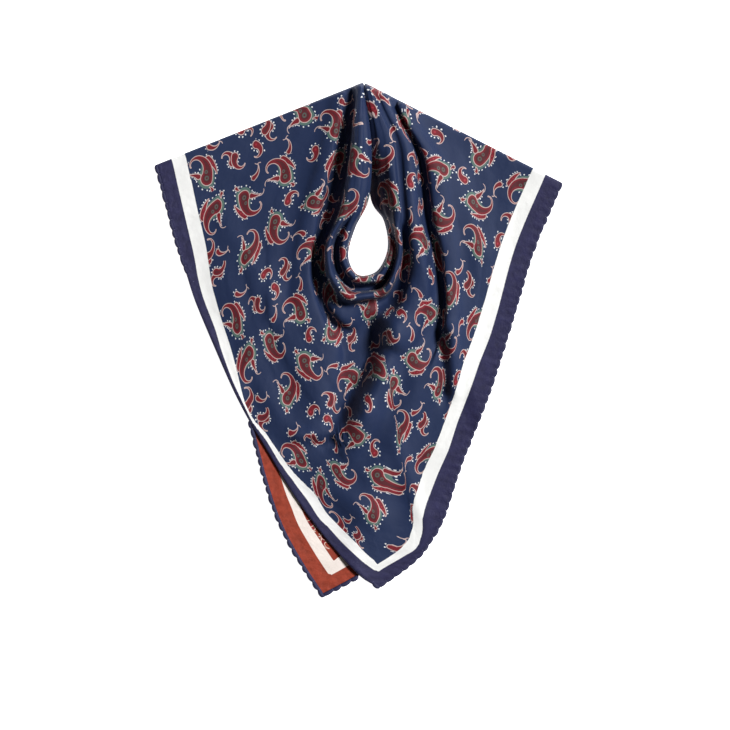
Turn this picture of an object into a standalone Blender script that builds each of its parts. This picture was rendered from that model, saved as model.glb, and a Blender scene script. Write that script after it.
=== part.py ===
"""Square wool scarf, folded on its diagonal and laid flat with its neckline gathered into a cowl.

The scarf is one square of cloth. Folded on the diagonal it has two stretches: the front one lies on top,
and the back one under it shows at the lower left. The two long points are turned under along the shoulder
folds. The neckline hangs in a loop round a teardrop gap, and the cloth that the loop takes up stands in folds
round it.

Frame: metres, +Z up from the surface that the scarf lies on, +Y towards the peak where the shoulder folds
meet, the origin on the surface under the middle of the outline. The tables below are in millimetres and read
from a point near that origin. At the end everything moves by the millimetre or so between the two.
"""

import math

import bmesh
import bpy
import numpy as np
from mathutils import Matrix

MM = 0.001

# The cloth
WALL = 1.2  # thickness of one layer as built
SEAM_GAP = 0.3  # between pieces that touch
PANEL_GAP = 0.6  # between the front stretch and the back stretch
END_DEPTH = 2.6  # a turned-under point is two layers deep
HEM_RADIUS = 1.9  # rolled hem, between two stitches
HEM_PINCH = 1.2  # rolled hem, under a stitch
STITCH_PITCH = 9.5
HEM_SIDES = 6
HEM_INSET = 2 * HEM_RADIUS + SEAM_GAP  # from the outline in to the edge of the flat cloth

# Outlines, x and y
LEFT_CORNER = (-205.0, 175.0)
RIGHT_CORNER = (204.5, 157.0)
FRONT_CORNER = (19.0, -249.5)
LEFT_HEM = (
    LEFT_CORNER,
    (-175.0, 69.0),
    (-146.0, -3.5),
    (-113.5, -74.0),
    (-91.0, -112.0),
    (-66.0, -153.5),
    (-25.0, -208.0),
    (-2.0, -233.0),
    FRONT_CORNER,
)
RIGHT_HEM = (
    FRONT_CORNER,
    (44.0, -232.0),
    (61.0, -217.5),
    (77.0, -195.5),
    (104.0, -124.0),
    (132.0, -51.5),
    (155.0, 20.5),
    (177.0, 92.5),
    RIGHT_CORNER,
)
BACK_CORNER = (-37.2, -258.3)
BACK_LEFT_HEM = (
    (-197.0, 168.0),
    (-165.0, 68.0),
    (-136.0, -5.0),
    (-113.5, -60.0),
    (-112.0, -78.5),
    (-106.0, -102.0),
    (-97.0, -137.0),
    (-80.3, -186.0),
    (-58.0, -227.0),
    BACK_CORNER,
)
BACK_RIGHT_HEM = (
    BACK_CORNER,
    (-4.0, -240.5),
    (38.0, -213.0),
    (66.0, -180.0),
    (93.0, -122.0),
    (121.0, -50.0),
    (144.0, 22.0),
    (167.0, 95.0),
    (192.0, 151.0),
)

# A section of the cloth runs straight from the neckline's rim to the hem. Columns: name, the rim's x and y,
# and the share of a hem edge at which the section ends, from -1 at the left corner through 0 at the front
# corner to 1 at the right corner.
SECTIONS = (
    ("left shoulder", 3.6, 257.8, -1.0),
    ("left lobe", 12.0, 197.0, -0.9),
    ("left of the apex", 10.0, 143.0, -0.775),
    ("left side", -4.0, 112.0, -0.67),
    ("left, low", -10.8, 86.0, -0.565),
    ("lower left", -5.0, 68.5, -0.28),
    ("bottom", 6.0, 64.5, 0.0),
    ("lower right", 20.0, 71.0, 0.29),
    ("right, low", 29.0, 93.0, 0.51),
    ("right side", 25.0, 120.0, 0.68),
    ("right of the apex", 12.0, 142.0, 0.81),
    ("right fold", 8.0, 197.0, 0.915),
    ("right shoulder", 6.6, 257.0, 1.0),
)

# The folds that each section crosses, outward from the rim. Each has a row for each section above.
FOLDS = (
    "turned under",
    "rim",
    "inner roll",
    "gap",
    "outer roll",
    "crease",
    "third fold",
    "valley",
    "panel crest",
    "panel",
)

# How far along its section each fold lies, from the rim
REACH = (
    (0.0, 0.7, 2.4, 4.4, 7.0, 10.5, 13.5, 18.0, 24.0, 50.0),
    (10.0, 0.0, 6.0, 11.0, 17.0, 25.0, 30.0, 36.0, 43.0, 75.0),
    (12.0, 0.0, 8.0, 15.0, 24.0, 36.0, 43.0, 51.0, 58.0, 95.0),
    (8.0, 0.0, 9.0, 20.5, 29.0, 37.0, 42.0, 47.0, 54.0, 90.0),
    (6.0, 0.0, 6.5, 15.0, 24.0, 33.0, 38.0, 43.0, 52.0, 95.0),
    (5.0, 0.0, 4.5, 13.5, 24.0, 35.0, 45.0, 60.0, 78.0, 125.0),
    (5.0, 0.0, 5.0, 12.5, 20.5, 29.0, 43.0, 78.0, 135.0, 190.0),
    (4.0, 0.0, 6.0, 14.0, 21.0, 31.0, 62.0, 105.0, 130.0, 165.0),
    (4.0, 0.0, 6.0, 10.5, 17.5, 27.5, 48.0, 92.0, 101.0, 135.0),
    (3.5, 0.0, 6.0, 10.0, 17.0, 25.5, 37.0, 68.0, 76.0, 112.0),
    (3.5, 0.0, 9.0, 16.0, 27.5, 34.5, 43.5, 59.0, 68.0, 105.0),
    (3.5, 0.0, 8.0, 15.0, 26.0, 33.0, 43.0, 55.0, 63.0, 98.0),
    (0.0, 0.8, 3.0, 6.0, 10.0, 15.0, 22.0, 31.0, 38.0, 75.0),
)

# How high each fold's mid-surface stands above the layers that it lies on
RISE = (
    (4.0, 8.0, 15.0, 18.0, 17.0, 6.0, 3.5, 4.0, 10.0, 2.0),
    (14.0, 23.0, 31.0, 34.0, 32.0, 8.0, 2.0, 3.0, 18.0, 5.0),
    (14.0, 22.0, 31.0, 34.0, 33.0, 8.0, 2.0, 3.0, 19.0, 6.0),
    (4.0, 14.0, 26.0, 12.0, 32.0, 8.0, 2.0, 3.0, 19.0, 6.0),
    (1.5, 11.0, 22.0, 4.0, 31.0, 7.0, 2.0, 3.0, 18.0, 6.0),
    (1.5, 10.0, 20.0, 3.0, 30.0, 14.0, 15.0, 2.5, 11.0, 3.0),
    (1.5, 10.0, 20.0, 3.0, 30.0, 12.0, 9.0, 2.0, 6.0, 3.0),
    (1.5, 10.0, 20.0, 3.0, 30.0, 4.0, 19.0, 5.0, 8.0, 3.0),
    (1.5, 10.0, 22.0, 18.0, 28.0, 5.0, 23.0, 2.0, 14.0, 4.0),
    (1.0, 5.0, 14.0, 21.0, 32.0, 7.0, 30.0, 2.0, 16.0, 5.0),
    (1.0, 4.0, 8.0, 18.0, 32.0, 10.0, 30.0, 2.0, 17.0, 6.0),
    (1.0, 3.5, 6.0, 14.0, 30.0, 12.0, 29.0, 3.0, 17.0, 5.0),
    (1.0, 2.0, 4.0, 9.0, 18.0, 9.0, 18.0, 4.0, 12.0, 2.0),
)

# Beyond the folds a section runs flat to the hem: shares of the way from the last fold to the hem
PANEL_SHARES = (0.25, 0.5, 0.75, 0.92, 1.0)

# Height of the front hem's middle above the layers under it. Columns: share of the hem edge, height
HEM_LIFT = (
    (-1.0, 0.2),
    (-0.75, 0.2),
    (-0.62, 3.4),
    (-0.5, 4.3),
    (-0.38, 1.7),
    (-0.13, 1.7),
    (-0.065, 4.3),
    (-0.02, 2.6),
    (0.04, 0.1),
    (1.0, 0.1),
)

FLANK_STEEPNESS = 0.55  # 0 gives even flanks, 1 upright ones

# Soft swells of the flat panels. Columns: x, y, heading in degrees, half length, half width, height
SWELLS = (
    (-35.0, -60.0, 118.0, 95.0, 20.0, 5.0),
    (40.0, -80.0, 70.0, 100.0, 18.0, 6.0),
    (-20.0, -140.0, 125.0, 70.0, 16.0, 3.0),
    (62.0, -10.0, 80.0, 60.0, 16.0, 5.0),
    (-118.0, 20.0, 115.0, 80.0, 18.0, 4.0),
    (-96.0, -62.0, 120.0, 45.0, 14.0, 5.0),
    (120.0, 60.0, 68.0, 80.0, 20.0, 3.0),
)

SWELL_START = 40.0  # reach at which the swells begin
SWELL_GROWTH = 60.0  # and over which they reach their full height
SWELL_END = 45.0  # distance from the hem at which they begin to die out

CORNER_END = 0.0001  # share of an edge at which its roll ends at a corner
HEM_CORNER = 0.013  # share of an edge left free at a corner for the end of the other edge's roll
BACK_LEFT_SHOWS = 0.425  # shares of the back hem's edges that show, from its corner
BACK_BOTTOM_SHOWS = 0.088

# The shoulder folds roll from the top of the cloth down to the surface
SHOULDER_ROLL_STEPS = 4
SHOULDER_MAX = 6.0  # widest roll in plan
SHOULDER_SPREAD = 0.35  # how much wider it gets with its height
SHOULDER_FOOT = 2.2  # how far the lower half of the roll reaches back under
SHOULDER_TUCK = 3.0  # from a shoulder fold in to the edge of the layers inside it
SHOULDER_BLEND = 0.8  # sections over which the roll's width fades

# Turned-under points: the corner, the tip under the hem and the corner at the peak
LEFT_END = ((-200.0, 170.3), (-126.0, -28.0), (-12.0, 245.0))
RIGHT_END = ((198.5, 152.5), (122.5, -45.0), (17.0, 243.0))
# Edge of a turned-under point, from the surface up. Columns: height, inset
END_EDGE = (
    (0.0, 0.5),
    (0.3, 0.1),
    (0.8, 0.0),
    (1.2, 0.4),
    (1.35, 1.4),
    (1.5, 0.8),
    (1.9, 0.5),
    (2.3, 0.7),
    (2.6, 1.3),
)
END_BRIDGE = 10.0  # cloth over the edge of a turned-under point stays up this far
END_SLOPE = 26.0  # and is down on the surface this far out

# Back stretch
# Reach of its rim in each section above
BACK_START = (1.2, 6.0, 3.5, 2.0, 1.5, 1.5, 1.5, 1.5, 1.5, 1.5, 1.5, 1.5, 1.2)
CORE_CLEARANCE = 1.3  # between the hidden layers in the folds and the wall over them
CORE_START = 0.3  # sections from a shoulder fold at which the hidden layers begin
CORE_GROWTH = 4.0  # reach over which they rise from the rim
CORE_MARGIN = 1.0  # reach on each side of a point over which the wall must clear them

# How finely the surface is cut
COLUMNS_A_SECTION = 4
ROWS_A_FOLD = 3
PROFILE_SAMPLES = 160
HEM_SAMPLES = 80
EDGE_STEP = 0.004  # share of an edge over which its direction is read
TINY = 1e-9
# Shares of the way out to the panel at which the back stretch has a row of points
BACK_SHARES = (0.0, 0.05, 0.1, 0.17, 0.25, 0.34, 0.44, 0.55, 0.68, 0.82, 1.0)

COLOURS = {
    "navy": (0.028, 0.043, 0.092, 1.0),
    "rust": (0.36, 0.058, 0.036, 1.0),
    "hem": (0.022, 0.024, 0.06, 1.0),
}
ROUGHNESS = 0.85


def eased(knots, values, at):
    """Values read between knots with no overshoot, so that a crest or a valley keeps its own height."""
    knots = np.asarray(knots, float)
    values = np.asarray(values, float)
    step = np.diff(knots)
    slope = np.diff(values) / step
    tangent = np.zeros(len(knots))
    same = slope[1:] * slope[:-1] > 0
    ahead = 2 * step[1:] + step[:-1]
    behind = step[1:] + 2 * step[:-1]
    near = np.where(same, slope[:-1], 1.0)
    far = np.where(same, slope[1:], 1.0)
    tangent[1:-1] = np.where(same, (ahead + behind) / (ahead / near + behind / far), 0.0)
    tangent[0] = slope[0]
    tangent[-1] = slope[-1]
    return hermite(knots, values, tangent, at)


def rounded(knots, values, at):
    """Values read on a round curve through the knots."""
    knots = np.asarray(knots, float)
    values = np.asarray(values, float)
    return hermite(knots, values, np.gradient(values, knots), at)


def hermite(knots, values, tangent, at):
    """Cubic curve through the knots with a given tangent at each."""
    at = np.clip(np.asarray(at, float), knots[0], knots[-1])
    i = np.clip(np.searchsorted(knots, at, side="right") - 1, 0, len(knots) - 2)
    width = knots[i + 1] - knots[i]
    s = (at - knots[i]) / width
    return (
        values[i] * (1 + 2 * s) * (1 - s) ** 2
        + tangent[i] * width * s * (1 - s) ** 2
        + values[i + 1] * s * s * (3 - 2 * s)
        - tangent[i + 1] * width * s * s * (1 - s)
    )


def smooth_step(x):
    """Rise from 0 to 1, level at both ends."""
    x = np.clip(x, 0.0, 1.0)
    return x * x * (3 - 2 * x)


class Outline:
    """A hem edge through its points, read by the share of its own length."""

    def __init__(self, points):
        self.points = np.asarray(points, float)
        chord = np.hypot(*np.diff(self.points, axis=0).T)
        run = np.concatenate([[0.0], np.cumsum(chord)])
        self.length = run[-1]
        self.knots = run / run[-1]

    def at(self, share):
        """Point of the edge."""
        return np.array([rounded(self.knots, self.points[:, k], share) for k in (0, 1)]).T

    def inward(self, share):
        """Unit vector square to the edge. The cloth lies on the left of the edge's run."""
        along = self.at(min(share + EDGE_STEP, 1.0)) - self.at(max(share - EDGE_STEP, 0.0))
        along = along / np.hypot(*along)
        return np.array([-along[1], along[0]])


FRONT_EDGES = (Outline(LEFT_HEM), Outline(RIGHT_HEM))
BACK_EDGES = (Outline(BACK_LEFT_HEM), Outline(BACK_RIGHT_HEM))


def hem_point(share, edges, inset):
    """Point of a two-edged hem at a share from -1 to 1, moved into the cloth by an inset."""
    edge = edges[0] if share < 0 else edges[1]
    place = 1.0 + share if share < 0 else share
    return edge.at(place) + edge.inward(place) * inset


def cloth_edge(share, edges):
    """Point where the flat cloth ends inside its rolled hem."""
    free = HEM_INSET / (edges[0] if share < 0 else edges[1]).length
    share = min(share, -free) if share < 0 else max(share, free)
    return hem_point(share, edges, HEM_INSET)


def triangle_distance(x, y, corners):
    """Distance outside a triangle, negative inside it."""
    corners = np.asarray(corners, float)
    if np.cross(corners[1] - corners[0], corners[2] - corners[0]) < 0:
        corners = corners[::-1]
    outside = []
    for a, b in zip(corners, np.roll(corners, -1, axis=0)):
        side = (b - a) / np.hypot(*(b - a))
        outside.append((x - a[0]) * side[1] - (y - a[1]) * side[0])
    return max(outside)


def floor_height(x, y):
    """Height of the back stretch's underside: up on the turned-under points, elsewhere on the surface."""
    out = min(triangle_distance(x, y, LEFT_END), triangle_distance(x, y, RIGHT_END))
    up = 1.0 - smooth_step((out - END_BRIDGE) / (END_SLOPE - END_BRIDGE))
    return (END_DEPTH + SEAM_GAP) * float(up)


def swell_height(x, y):
    """Soft swells of the front stretch."""
    total = 0.0
    for cx, cy, heading, half_length, half_width, height in SWELLS:
        c = math.cos(math.radians(heading))
        s = math.sin(math.radians(heading))
        along = (x - cx) * c + (y - cy) * s
        across = (y - cy) * c - (x - cx) * s
        total += height * math.exp(-((along / half_length) ** 2) - (across / half_width) ** 2)
    return total


class Section:
    """The front stretch cut along one line from rim to hem, at a place u counted in sections."""

    index = np.arange(len(SECTIONS))

    def __init__(self, u):
        rim = [[row[1], row[2]] for row in SECTIONS]
        self.u = u
        self.rim = np.array([rounded(self.index, np.array(rim)[:, k], u) for k in (0, 1)])
        self.share = float(eased(self.index, [row[3] for row in SECTIONS], u))
        self.hem = cloth_edge(self.share, FRONT_EDGES)
        across = self.hem - self.rim
        self.length = float(np.hypot(*across))
        self.heading = across / self.length
        reach = [float(eased(self.index, [row[k] for row in REACH], u)) for k in range(len(FOLDS))]
        rise = [float(eased(self.index, [row[k] for row in RISE], u)) for k in range(len(FOLDS))]
        flat = [reach[-1] + (self.length - reach[-1]) * share for share in PANEL_SHARES]
        lift = float(eased([row[0] for row in HEM_LIFT], [row[1] for row in HEM_LIFT], self.share))
        fade = [1.0 - share for share in PANEL_SHARES]
        self.reach = np.array(reach + flat)
        self.rise = np.array(rise + [rise[-1] * f * f + lift * (1 - f) ** 2 for f in fade])

    def profile(self, rows):
        """Reach and rise at places counted in folds. Crests and valleys are round, flanks steep."""
        knots = np.arange(len(self.reach))
        part = rows - np.floor(rows)
        steep = rows + FLANK_STEEPNESS * np.sin(2 * math.pi * part) / (2 * math.pi)
        return eased(knots, self.reach, steep), eased(knots, self.rise, rows)

    def plan(self, reach):
        """Point of the section in plan."""
        return self.rim + self.heading * reach


def front_rows():
    """Places down a section, counted in folds, at which the front stretch has a row of points."""
    fine = np.linspace(0, len(FOLDS) - 1, ROWS_A_FOLD * (len(FOLDS) - 1) + 1)
    return np.concatenate([fine, len(FOLDS) - 1 + np.arange(1, len(PANEL_SHARES) + 1)])


def base_height(x, y):
    """Mid-surface of the front stretch where it lies flat."""
    return floor_height(x, y) + WALL + PANEL_GAP + WALL / 2


def front_point(section, reach, rise):
    """Point of the front stretch's mid-surface."""
    x, y = section.plan(reach)
    return np.array([x, y, base_height(x, y) + rise + swell_height(x, y) * swell_fade(section, reach)])


def swell_fade(section, reach):
    """The swells begin outside the folds and die out towards the hem and the shoulder folds."""
    from_rim = smooth_step((reach - SWELL_START) / SWELL_GROWTH)
    to_hem = smooth_step((section.length - reach) / SWELL_END)
    to_shoulder = smooth_step(min(section.u, len(SECTIONS) - 1 - section.u))
    return from_rim * to_hem * to_shoulder


def shoulder_inward(side):
    """Unit vector in plan, square to a shoulder fold and into the cloth."""
    along = np.array(LEFT_CORNER if side < 0 else RIGHT_CORNER) - np.array(SECTIONS[0][1:3])
    along = along / np.hypot(*along)
    return np.array([-along[1], along[0]]) if side < 0 else np.array([along[1], -along[0]])


def front_columns():
    """Every column of front points, from under the left shoulder fold round to under the right one."""
    rows = front_rows()
    last = len(SECTIONS) - 1
    columns = []
    for u in np.linspace(0, last, COLUMNS_A_SECTION * last + 1):
        section = Section(u)
        reach, rise = section.profile(rows)
        points = np.array([front_point(section, a, b) for a, b in zip(reach, rise)])
        near = min(u, last - u)
        inward = shoulder_inward(-1 if u < last / 2 else 1)
        width = roll_width(points[:, 2]) * (1 - smooth_step(near / SHOULDER_BLEND))
        points[:, :2] += inward * width[:, None]
        columns.append(points)
    left = shoulder_columns(columns[0], -1)
    right = shoulder_columns(columns[-1], 1)
    return left[::-1] + columns + right


def roll_width(height):
    """Width in plan of the upper half of a shoulder roll whose top is at this height."""
    above = (height - base_height(*LEFT_CORNER)).clip(0)
    return np.minimum(SHOULDER_MAX, SHOULDER_FOOT + SHOULDER_SPREAD * above)


def shoulder_columns(top, side):
    """Columns that carry the top of the cloth over the shoulder fold and down to the surface."""
    inward = shoulder_inward(side)
    crown = top[:, 2]
    width = roll_width(crown)
    middle = WALL / 2 + SHOULDER_FOOT
    columns = []
    for k in range(1, SHOULDER_ROLL_STEPS + 1):
        angle = math.pi * k / SHOULDER_ROLL_STEPS
        upper = angle <= math.pi / 2
        span = width if upper else np.full_like(width, SHOULDER_FOOT)
        half = crown - middle if upper else np.full_like(crown, SHOULDER_FOOT)
        points = top.copy()
        points[:, :2] += inward * (span * (1 - math.sin(angle)) - width)[:, None]
        points[:, 2] = middle + half * math.cos(angle)
        columns.append(points)
    return columns


def solid_from_wall(name, grid, thickness, colour):
    """A closed solid of even thickness about a grid of points."""
    grid = np.asarray(grid)
    face = np.cross(grid[1:, 1:] - grid[:-1, :-1], grid[:-1, 1:] - grid[1:, :-1])
    face /= np.linalg.norm(face, axis=2, keepdims=True).clip(TINY)
    normal = np.zeros_like(grid)
    for part in (normal[1:, 1:], normal[1:, :-1], normal[:-1, 1:], normal[:-1, :-1]):
        part += face
    normal /= np.linalg.norm(normal, axis=2, keepdims=True).clip(TINY)
    return closed_grid(name, grid + normal * thickness / 2, grid - normal * thickness / 2, colour)


def closed_grid(name, outer, inner, colour):
    """A closed solid between two grids of points of the same shape."""
    mesh = bmesh.new()
    columns, rows = outer.shape[:2]
    faces = []
    verts = [[[mesh.verts.new(p * MM) for p in line] for line in grid] for grid in (outer, inner)]
    for i in range(columns - 1):
        for j in range(rows - 1):
            quad = ((i, j), (i + 1, j), (i + 1, j + 1), (i, j + 1))
            faces.append([verts[0][a][b] for a, b in quad])
            faces.append([verts[1][a][b] for a, b in reversed(quad)])
    ring = [(i, 0) for i in range(columns)] + [(columns - 1, j) for j in range(1, rows)]
    ring += [(i, rows - 1) for i in range(columns - 2, -1, -1)] + [(0, j) for j in range(rows - 2, 0, -1)]
    for (a, b), (c, d) in zip(ring, ring[1:] + ring[:1]):
        faces.append([verts[0][c][d], verts[0][a][b], verts[1][a][b], verts[1][c][d]])
    for face in faces:
        mesh.faces.new(face)
    return finish(name, mesh, colour)


def finish(name, mesh, colour):
    """Turn a bmesh into a named object with its own material."""
    bmesh.ops.triangulate(mesh, faces=mesh.faces[:])
    bmesh.ops.recalc_face_normals(mesh, faces=mesh.faces[:])
    data = bpy.data.meshes.new(name)
    mesh.to_mesh(data)
    mesh.free()
    data.shade_smooth()
    item = bpy.data.objects.new(name, data)
    bpy.context.scene.collection.objects.link(item)
    material = bpy.data.materials.new(name + " cloth")
    material.use_nodes = True
    shader = material.node_tree.nodes["Principled BSDF"]
    shader.inputs["Base Color"].default_value = COLOURS[colour]
    shader.inputs["Roughness"].default_value = ROUGHNESS
    data.materials.append(material)
    return item


def build_front():
    """The front stretch, with the cowl."""
    return solid_from_wall("front_stretch", front_columns(), WALL, "navy")


def core_tops(section, shares, tucked):
    """Heights of the back stretch's top under the folds, where hidden layers fill what room there is."""
    fine = np.linspace(0, len(section.reach) - 1, PROFILE_SAMPLES)
    reach, rise = section.profile(fine)
    from_shoulder = min(section.u, len(SECTIONS) - 1 - section.u)
    tops = []
    for k, r in enumerate(shares):
        x, y = section.plan(r) + tucked
        start = shares[max(k - 1, 0)] - CORE_MARGIN
        end = shares[min(k + 1, len(shares) - 1)] + CORE_MARGIN
        roof = base_height(x, y) + rise[(reach > start) & (reach < end)].min() - WALL / 2
        single = floor_height(x, y) + WALL
        fade = smooth_step(from_shoulder - CORE_START) * smooth_step((r - shares[0]) / CORE_GROWTH)
        tops.append(single + max(0.0, roof - CORE_CLEARANCE - single) * fade)
    return tops


def build_back():
    """The back stretch: flat cloth whose top rises into the folds of the cowl."""
    last = len(SECTIONS) - 1
    tops = []
    bottoms = []
    for u in np.linspace(0, last, COLUMNS_A_SECTION * last + 1):
        section = Section(u)
        start = float(eased(Section.index, BACK_START, u))
        turn = section.reach[len(FOLDS) - 1]
        shares = [start + (turn - start) * share for share in BACK_SHARES]
        near_fold = 1.0 - smooth_step(min(u, last - u) / SHOULDER_BLEND)
        tucked = shoulder_inward(-1 if u < last / 2 else 1) * SHOULDER_TUCK * near_fold
        from_panel = section.plan(turn)
        to_hem = cloth_edge(section.share, BACK_EDGES) - from_panel
        plan = [section.plan(r) + tucked for r in shares]
        plan += [from_panel + to_hem * share + tucked for share in PANEL_SHARES]
        low = [floor_height(x, y) for x, y in plan]
        high = core_tops(section, shares, tucked)
        high += [height + WALL for height in low[len(shares):]]
        bottoms.append([(x, y, z) for (x, y), z in zip(plan, low)])
        tops.append([(x, y, z) for (x, y), z in zip(plan, high)])
    return closed_grid("back_stretch", np.array(tops), np.array(bottoms), "rust")


def build_end(name, corners):
    """A long point of the square, turned under: a flat triangle two layers deep, each with its own edge."""
    corners = np.array(corners)
    sides = np.array([np.hypot(*(corners[(k + 1) % 3] - corners[(k + 2) % 3])) for k in range(3)])
    centre = sides @ corners / sides.sum()
    reach = -triangle_distance(*centre, corners)
    mesh = bmesh.new()
    rings = []
    for height, inset in END_EDGE:
        ring = corners + (centre - corners) * inset / reach
        rings.append([mesh.verts.new((x * MM, y * MM, height * MM)) for x, y in ring])
    for low, high in zip(rings, rings[1:]):
        for k in range(3):
            n = (k + 1) % 3
            mesh.faces.new((low[k], low[n], high[n], high[k]))
    mesh.faces.new(list(reversed(rings[0])))
    mesh.faces.new(rings[-1])
    return finish(name, mesh, "navy")


def build_hem(name, path):
    """A rolled hem along a path, swollen between stitches and pinched under each one."""
    path = np.asarray(path)
    run = np.concatenate([[0.0], np.cumsum(np.linalg.norm(np.diff(path, axis=0), axis=1))])
    count = 2 * max(2, round(run[-1] / STITCH_PITCH))
    at = np.linspace(0, run[-1], count + 1)
    centre = np.array([np.interp(at, run, path[:, k]) for k in range(3)]).T
    tangent = np.gradient(centre, axis=0)
    tangent /= np.linalg.norm(tangent, axis=1, keepdims=True)
    side = np.cross(tangent, (0.0, 0.0, 1.0))
    side /= np.linalg.norm(side, axis=1, keepdims=True).clip(TINY)
    up = np.cross(side, tangent)
    mesh = bmesh.new()
    rings = []
    for k in range(count + 1):
        radius = HEM_PINCH if k % 2 == 0 else HEM_RADIUS
        middle = centre[k] - side[k] * (HEM_RADIUS - radius)
        ring = []
        for s in range(HEM_SIDES):
            angle = 2 * math.pi * (s + 0.5) / HEM_SIDES
            spoke = side[k] * math.cos(angle) + up[k] * math.sin(angle)
            ring.append(mesh.verts.new((middle + spoke * radius) * MM))
        rings.append(ring)
    for low, high in zip(rings, rings[1:]):
        for s in range(HEM_SIDES):
            n = (s + 1) % HEM_SIDES
            mesh.faces.new((low[s], low[n], high[n], high[s]))
    mesh.faces.new(list(reversed(rings[0])))
    mesh.faces.new(rings[-1])
    return finish(name, mesh, "hem")


def front_hem_path(first, last):
    """Middle of the front hem between two shares of its edges."""
    points = []
    for share in np.linspace(first, last, HEM_SAMPLES):
        x, y = hem_point(share, FRONT_EDGES, HEM_RADIUS)
        lift = float(eased([row[0] for row in HEM_LIFT], [row[1] for row in HEM_LIFT], share))
        points.append((x, y, base_height(x, y) + lift))
    return points


def back_hem_path(first, last):
    """Middle of the back hem between two shares of its edges."""
    points = []
    for share in np.linspace(first, last, HEM_SAMPLES):
        x, y = hem_point(share, BACK_EDGES, HEM_RADIUS)
        points.append((x, y, floor_height(x, y) + HEM_RADIUS))
    return points


def centre_on_surface(items):
    """Move every mesh so that the origin is on the surface, under the middle of the whole outline."""
    points = np.array([vertex.co for item in items for vertex in item.data.vertices])
    middle = (points.min(axis=0) + points.max(axis=0)) / 2
    shift = Matrix.Translation((-middle[0], -middle[1], -points[:, 2].min()))
    for item in items:
        item.data.transform(shift)


def main():
    """Clear the scene and build every piece."""
    for item in list(bpy.data.objects):
        bpy.data.objects.remove(item, do_unlink=True)
    items = [
        build_front(),
        build_back(),
        build_end("left_end", LEFT_END),
        build_end("right_end", RIGHT_END),
        build_hem("hem_front_left", front_hem_path(-1.0, -CORNER_END)),
        build_hem("hem_front_right", front_hem_path(HEM_CORNER, 1.0)),
        build_hem("hem_back_left", back_hem_path(-BACK_LEFT_SHOWS, -CORNER_END)),
        build_hem("hem_back_bottom", back_hem_path(HEM_CORNER, BACK_BOTTOM_SHOWS)),
    ]
    centre_on_surface(items)


main()
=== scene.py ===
"""Looks of the square wool scarf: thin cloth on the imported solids, its print, rolled hems and stitches."""

import math

import bmesh
import bpy
import numpy as np
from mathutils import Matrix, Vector


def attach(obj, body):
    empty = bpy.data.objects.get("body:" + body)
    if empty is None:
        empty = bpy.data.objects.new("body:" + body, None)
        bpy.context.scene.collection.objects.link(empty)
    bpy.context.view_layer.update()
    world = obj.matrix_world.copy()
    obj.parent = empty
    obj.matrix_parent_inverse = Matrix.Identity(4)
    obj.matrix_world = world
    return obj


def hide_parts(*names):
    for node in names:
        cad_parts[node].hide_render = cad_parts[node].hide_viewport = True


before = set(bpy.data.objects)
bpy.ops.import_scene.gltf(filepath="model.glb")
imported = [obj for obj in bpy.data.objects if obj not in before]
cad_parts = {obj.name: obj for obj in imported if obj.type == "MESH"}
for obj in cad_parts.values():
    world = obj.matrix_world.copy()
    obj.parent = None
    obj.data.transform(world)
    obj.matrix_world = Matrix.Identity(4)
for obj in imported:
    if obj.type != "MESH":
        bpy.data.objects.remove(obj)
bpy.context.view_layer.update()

MM = 0.001

# Tables and sizes from here to SWELLS follow the solids' own, in millimetres before they are centred. A few
# folds reach or rise a little otherwise here, as the photo shows them
CENTRING = (0.2166, -0.4862)
WALL = 1.2
PANEL_GAP = 0.6
SEAM_GAP = 0.3
END_DEPTH = 2.6
LEFT_CORNER = (-205.0, 175.0)
RIGHT_CORNER = (204.5, 157.0)
FRONT_CORNER = (19.0, -249.5)
LEFT_HEM = (
    LEFT_CORNER, (-175, 69), (-146, -3.5), (-113.5, -74), (-91, -112), (-66, -153.5), (-25, -208),
    (-2, -233), FRONT_CORNER,
)
RIGHT_HEM = (
    FRONT_CORNER, (44, -232), (61, -217.5), (77, -195.5), (104, -124), (132, -51.5), (155, 20.5),
    (177, 92.5), RIGHT_CORNER,
)
BACK_CORNER = (-37.2, -258.3)
BACK_LEFT_HEM = (
    (-197, 168), (-165, 68), (-136, -5), (-113.5, -60), (-112, -78.5), (-106, -102), (-97, -137),
    (-80.3, -186), (-58, -227), BACK_CORNER,
)
BACK_RIGHT_HEM = (
    BACK_CORNER, (-4, -240.5), (38, -213), (66, -180), (93, -122), (121, -50), (144, 22), (167, 95),
    (192, 151),
)

# Sections of the cloth from the neckline's rim to the hem. Columns: name, the rim's x and y, share of the hem
SECTIONS = (
    ("left shoulder", 3.6, 257.8, -1),
    ("left lobe", 12, 197, -0.9),
    ("left of the apex", 10, 143, -0.775),
    ("left side", -4, 112, -0.67),
    ("left, low", -10.8, 86, -0.565),
    ("lower left", -5, 68.5, -0.28),
    ("bottom", 6, 64.5, 0),
    ("lower right", 20, 71, 0.29),
    ("right, low", 29, 93, 0.51),
    ("right side", 25, 120, 0.68),
    ("right of the apex", 12, 142, 0.81),
    ("right fold", 8, 197, 0.915),
    ("right shoulder", 6.6, 257, 1),
)
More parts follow.
